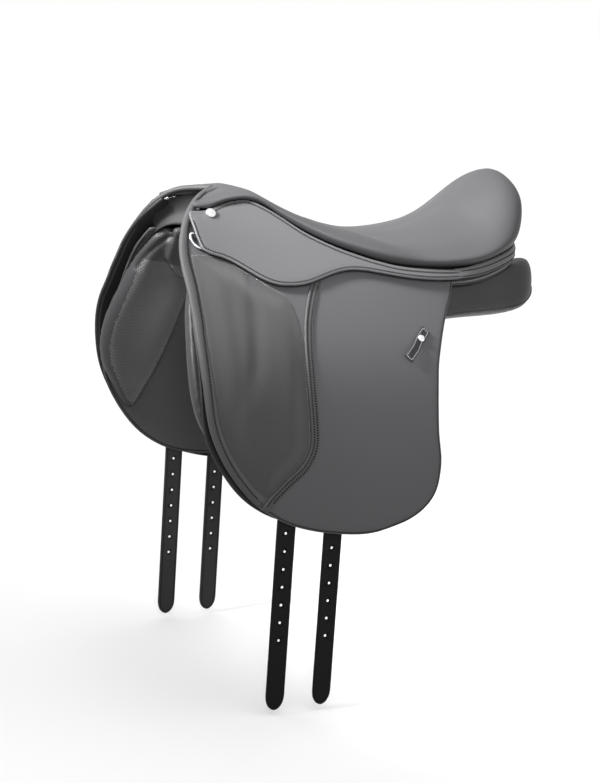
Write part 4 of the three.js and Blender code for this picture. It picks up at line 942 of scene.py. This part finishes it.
def lobe_h(P, d):
    x, z = P[:, 0], P[:, 1]
    c = np.sqrt(np.clip(1 - (1 - np.clip(d / 17, 0, 1)) ** 2, 0, 1))
    amp = 21.0 - 8 * sm((z - 30) / 70) - 7 * sm((-95 - z) / 50)
    rear = sm((x - (205 - 0.10 * z)) / 60)
    return c * amp * (0.55 + 0.45 * rear)


lobe = leather(LOBE, SWI, 4.0, top=0.4, rows=(2, 4, 7, 11, 16), grid=6.0, under=lobe_h, edge=2.0)
V, f = merge([pan, lobe])
tmp = make("panel_tmp", V, f, M_PANEL)
md = tmp.modifiers.new("r", "REMESH"); md.mode = "VOXEL"; md.voxel_size = 0.0032; md.use_smooth_shade = True
ms = tmp.modifiers.new("s", "SMOOTH"); ms.factor = 0.5; ms.iterations = 7
dg = bpy.context.evaluated_depsgraph_get()
me = bpy.data.meshes.new_from_object(tmp.evaluated_get(dg))
bpy.data.objects.remove(tmp)
PVv = np.empty(len(me.vertices) * 3); me.vertices.foreach_get("co", PVv); PVv = PVv.reshape(-1, 3) * 1000
NVv = np.empty(len(me.vertices) * 3); me.vertices.foreach_get("normal", NVv); NVv = NVv.reshape(-1, 3)
PF = [tuple(p.vertices) for p in me.polygons]
bpy.data.meshes.remove(me)


def groove(line, depth, width, mask):
    global PVv
    d = dist_line(PVv[:, [0, 2]], np.array(line, float))
    PVv = PVv - NVv * (depth * np.exp(-(d / width) ** 2) * mask)[:, None]


inner = (NVv[:, 1] < 0.35) & (PVv[:, 0] > 150) & (PVv[:, 1] > 45)
groove(through([(236, 106), (250, 96), (262, 82), (270, 68), (274, 56)], 2.0), 4.0, 3.0, inner)
groove(through([(222, 96), (238, 100), (256, 106)], 2.0), 3.0, 3.5, inner)
# perforated patch on the leaf's inner face, inside a line 7 mm in from its edge
C_ = np.array([PVv[list(q)].mean(0) for q in PF]); N_ = np.array([NVv[list(q)].mean(0) for q in PF])
perf = inside(C_[:, [0, 2]], offset(LOBE, (1 if inside(offset(LOBE, 3.0, True)[5:20], LOBE).all() else -1) * 7.0, True)) & (N_[:, 1] < -0.25) & (C_[:, 2] < 66 + (C_[:, 0] - 250) * 0.15) & (C_[:, 1] > 60)
# welt round the lower outer corner of the panel
wl = rg[6:60, npan + 3].copy(); wl[:, 1] -= 0.6; wl[:, 2] += 0.4
welts = tube(through(wl[::4], 5.0), 1.5, 8)
for s, k in SIDES:
    o = place("panel_cushion", (PVv, PF), M_PANEL, s, k); o.data.materials.append(M_PERF)
    o.data.polygons.foreach_set("material_index", perf.astype(int)); o.data.update()
    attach(o, BODY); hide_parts(f"{s}_panel", f"{s}_thigh_roll")
    o = place("panel_welt", welts, M_PANEL, s, k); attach(o, BODY)

# ------------------------------------------------------------------ billets
bil = lambda x, z: np.minimum(F(x, np.maximum(z, -230)), 192.5) - 8
HP, HR = 22.8, 1.6
for nm, bx in (("billet_front", 170.0), ("billet_rear", 106.0)):
    w = 12.5
    fb_ = lambda x, z, bx=bx: bil(np.full_like(np.asarray(x, float), bx), z)
    tip = [(bx + w, -436), (bx + w - 1.2, -444), (bx + w - 5, -451), (bx + w - 12.5, -455), (bx - w + 5, -451), (bx - w + 1.2, -444), (bx - w, -436)]
    out = join_lines(resample([(bx + w, 74), (bx + w, -436)], 8), through(tip, 2.0), resample([(bx - w, -436), (bx - w, 74)], 8), resample([(bx - w, 74), (bx + w, 74)], 5))
    holes = [np.array([(bx + HR * math.cos(a), -364 + i * HP + HR * math.sin(a)) for a in np.arange(12) * math.pi / 6]) for i in range(12)]
    st = leather(out, fb_, 4.0, rows=(2.6,), grid=7.0, holes=holes, edge=1.0)
    inn = offset(out, (1 if inside(offset(out, 2.0, True)[5:20], out).all() else -1) * 2.8, True)
    inn = np.concatenate([inn[3:-6]])
    q, qn = on(fb_, inn, 0.0)
    th = thread(q, qn, 3.4, 2.3, .4, .25)
    q2, qn2 = on(fb_, inn, -4.0)
    th2 = thread(q2, -qn2, 3.4, 2.3, .4, .25)
    for s, k in SIDES:
        # the off-side straps take the lighter copy of the strap leather: painted light
        o = place(f"{nm}_strap", st, M_STRAP if k > 0 else M_STRAP_OFF_LIT, s, k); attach(o, f"{s}_{nm}_body"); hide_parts(f"{s}_{nm}")
        o = place(f"{nm}_thread", merge([th, th2]), M_STRAP, s, k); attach(o, f"{s}_{nm}_body")

# ------------------------------------------------------------------ hardware
for s, k in SIDES:
    p, n = on(F, np.array([[242, 145.5]]), 0.0)
    c = np.array([242, float(F(242, 145.5)) + 12.2, 145.5])
    pr1 = [(0.01, 0), (6.2, 0), (6.9, .5), (6.9, 1.2), (6.3, 2.4), (5.2, 3.5), (3.6, 4.3), (1.8, 4.7), (0.01, 4.8)]
    o = place("skirt_nail_dome", lathe(pr1, c, n[0]), M_CHROME, s, k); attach(o, BODY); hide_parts(f"{s}_skirt_nail")
    # dee ring
    dn = on(F, np.array([[261, 110.]]), 0.0)[1][0]; down = np.array([0, dn[2], -dn[1]]); c0 = np.array([261, 78.067, 122.])
    pth = [c0 + np.array([dx, 0, 0]) for dx in (-10, -5, 0, 5, 10)] + [c0 + np.array([12 * math.cos(a), 0, 0]) + down * (5.5 + 14.5 * math.sin(a)) for a in np.linspace(0, math.pi, 15)]
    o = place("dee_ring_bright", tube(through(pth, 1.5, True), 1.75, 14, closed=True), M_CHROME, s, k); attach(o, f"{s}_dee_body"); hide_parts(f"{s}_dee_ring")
    # keeper stud
    q = np.array([[-13 + .6962 * 14, 17.5 - .7179 * 14]]); c, n = on(F, q, 0.0); c = np.array([q[0, 0], float(F(*q[0])) + 3.9, q[0, 1]])
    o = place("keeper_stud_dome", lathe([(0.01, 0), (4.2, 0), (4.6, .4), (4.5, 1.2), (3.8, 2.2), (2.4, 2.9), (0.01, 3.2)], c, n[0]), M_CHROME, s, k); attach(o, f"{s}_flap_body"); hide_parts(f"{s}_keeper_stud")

# keeper strap
p0 = np.array([-13, 17.5]); p1 = np.array([19, -15.5]); Lk = np.linalg.norm(p1 - p0); tk = (p1 - p0) / Lk; nk = np.array([-tk[1], tk[0]])
kat = lambda a, b: tuple(p0 + tk * a + nk * b)
KO = join_lines(resample([kat(0, -6.2), kat(0, 6.2)], 2), resample([kat(0, 6.2), kat(Lk, 6.2)], 2.5), resample([kat(Lk, 6.2), kat(Lk, -6.2)], 2), resample([kat(Lk, -6.2), kat(0, -6.2)], 2.5))


def lift(x, z):
    a = (x - p0[0]) * tk[0] + (z - p0[1]) * tk[1]
    return 3.6 * sm((a - 17) / 12) * sm((Lk + 6 - a) / 10)


KF = lambda x, z: F(x, z) + 3.2 + lift(np.asarray(x, float), np.asarray(z, float))
keep_ = leather(KO, KF, 2.2, rows=(2.0,), grid=3.0, edge=.8)
kin = np.array([kat(1.8, -4.2), kat(1.8, 4.2), kat(Lk - 1.8, 4.2), kat(Lk - 1.8, -4.2), kat(1.8, -4.2)])
kq, kn = on(KF, resample(kin, 2.0), 0.05)
kth = thread(kq, kn, 2.6, 1.8, .4, .35)
for s, k in SIDES:
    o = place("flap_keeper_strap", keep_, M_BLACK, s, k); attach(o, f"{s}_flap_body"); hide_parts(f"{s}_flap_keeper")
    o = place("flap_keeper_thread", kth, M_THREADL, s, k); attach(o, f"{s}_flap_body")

# finish of the CAD pieces that stay
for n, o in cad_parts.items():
    if o.hide_render: continue
    m = M_TREE
    if any(w in n for w in ("bar", "rivet", "head_plate", "catch")): m = M_STEEL
    elif "dee_chape" in n: m = M_BLACK
    elif "web" in n: m = M_WEB
    o.data.materials.clear(); o.data.materials.append(m)

# ------------------------------------------------------------------ camera, floor, light
AZ, EL, DIST, ROLL, SPX = 153.0, 12.0, 2200.0, 3.9, 1.32
a_, e_ = math.radians(AZ), math.radians(EL)
bk = np.array([math.sin(a_) * math.cos(e_), -math.cos(a_) * math.cos(e_), math.sin(e_)])
r0 = np.array([math.cos(a_), math.sin(a_), 0.]); u0 = np.cross(bk, r0); ro = math.radians(ROLL)
rv = math.cos(ro) * r0 + math.sin(ro) * u0; uv = -math.sin(ro) * r0 + math.cos(ro) * u0
fpx = DIST / SPX; anchor = np.array([0, 0, 120.]); want = np.array([360., 229.])
C = DIST * bk
for _ in range(30):
    d_ = anchor - C; z_ = -(d_ @ bk); q_ = np.array([300 + fpx * (d_ @ rv) / z_, 391.5 - fpx * (d_ @ uv) / z_])
    C = C + rv * (q_[0] - want[0]) * z_ / fpx - uv * (q_[1] - want[1]) * z_ / fpx
cam_d = bpy.data.cameras.new("camera"); cam = bpy.data.objects.new("camera", cam_d); bpy.context.scene.collection.objects.link(cam)
cam_d.sensor_width = 36; cam_d.sensor_fit = "AUTO"; cam_d.lens = fpx / 783 * 36
cam_d.clip_end = 100
R = Matrix([[rv[i], uv[i], bk[i]] for i in range(3)]).to_4x4()
cam.matrix_world = Matrix.Translation(Vector(C * MM)) @ R
bpy.context.scene.camera = cam

fm = bpy.data.materials.new("floor"); fm.use_nodes = True
fb2 = fm.node_tree.nodes["Principled BSDF"]; fb2.inputs["Base Color"].default_value = (0.88, 0.88, 0.88, 1); fb2.inputs["Roughness"].default_value = 0.9
fb2.inputs["Specular IOR Level"].default_value = 0.0
me = bpy.data.meshes.new("floor"); me.from_pydata([(-30, -30, -.462), (30, -30, -.462), (30, 30, -.462), (-30, 30, -.462)], [], [(0, 1, 2, 3)]); me.materials.append(fm)
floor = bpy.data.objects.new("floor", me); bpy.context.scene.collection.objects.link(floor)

w = bpy.data.worlds.new("studio"); bpy.context.scene.world = w; w.use_nodes = True
w.node_tree.nodes["Background"].inputs["Color"].default_value = (1, 1, 1, 1); w.node_tree.nodes["Background"].inputs["Strength"].default_value = 1.0


def light(name, kind, loc, target, power, **kw):
    l = bpy.data.lights.new(name, kind); l.energy = power
    for a, b in kw.items(): setattr(l, a, b)
    o = bpy.data.objects.new(name, l); bpy.context.scene.collection.objects.link(o)
    o.location = loc; o.rotation_euler = (Vector(target) - Vector(loc)).to_track_quat("-Z", "Y").to_euler()
    return o


light("sky", "SUN", (0, 0, 3), (-0.3, -0.2, 0), 0.6, angle=0.6)
light("key", "SPOT", (1.55, 0.12, 1.20), (-0.02, 0.03, 0.16), 1150, spot_size=math.radians(28), spot_blend=1.0, shadow_soft_size=0.25)
light("fill", "SPOT", (0.75, 1.55, 0.75), (0.08, 0.16, 0.04), 215, spot_size=math.radians(24), spot_blend=1.0, shadow_soft_size=0.25)
bpy.context.scene.view_settings.view_transform = "Standard"
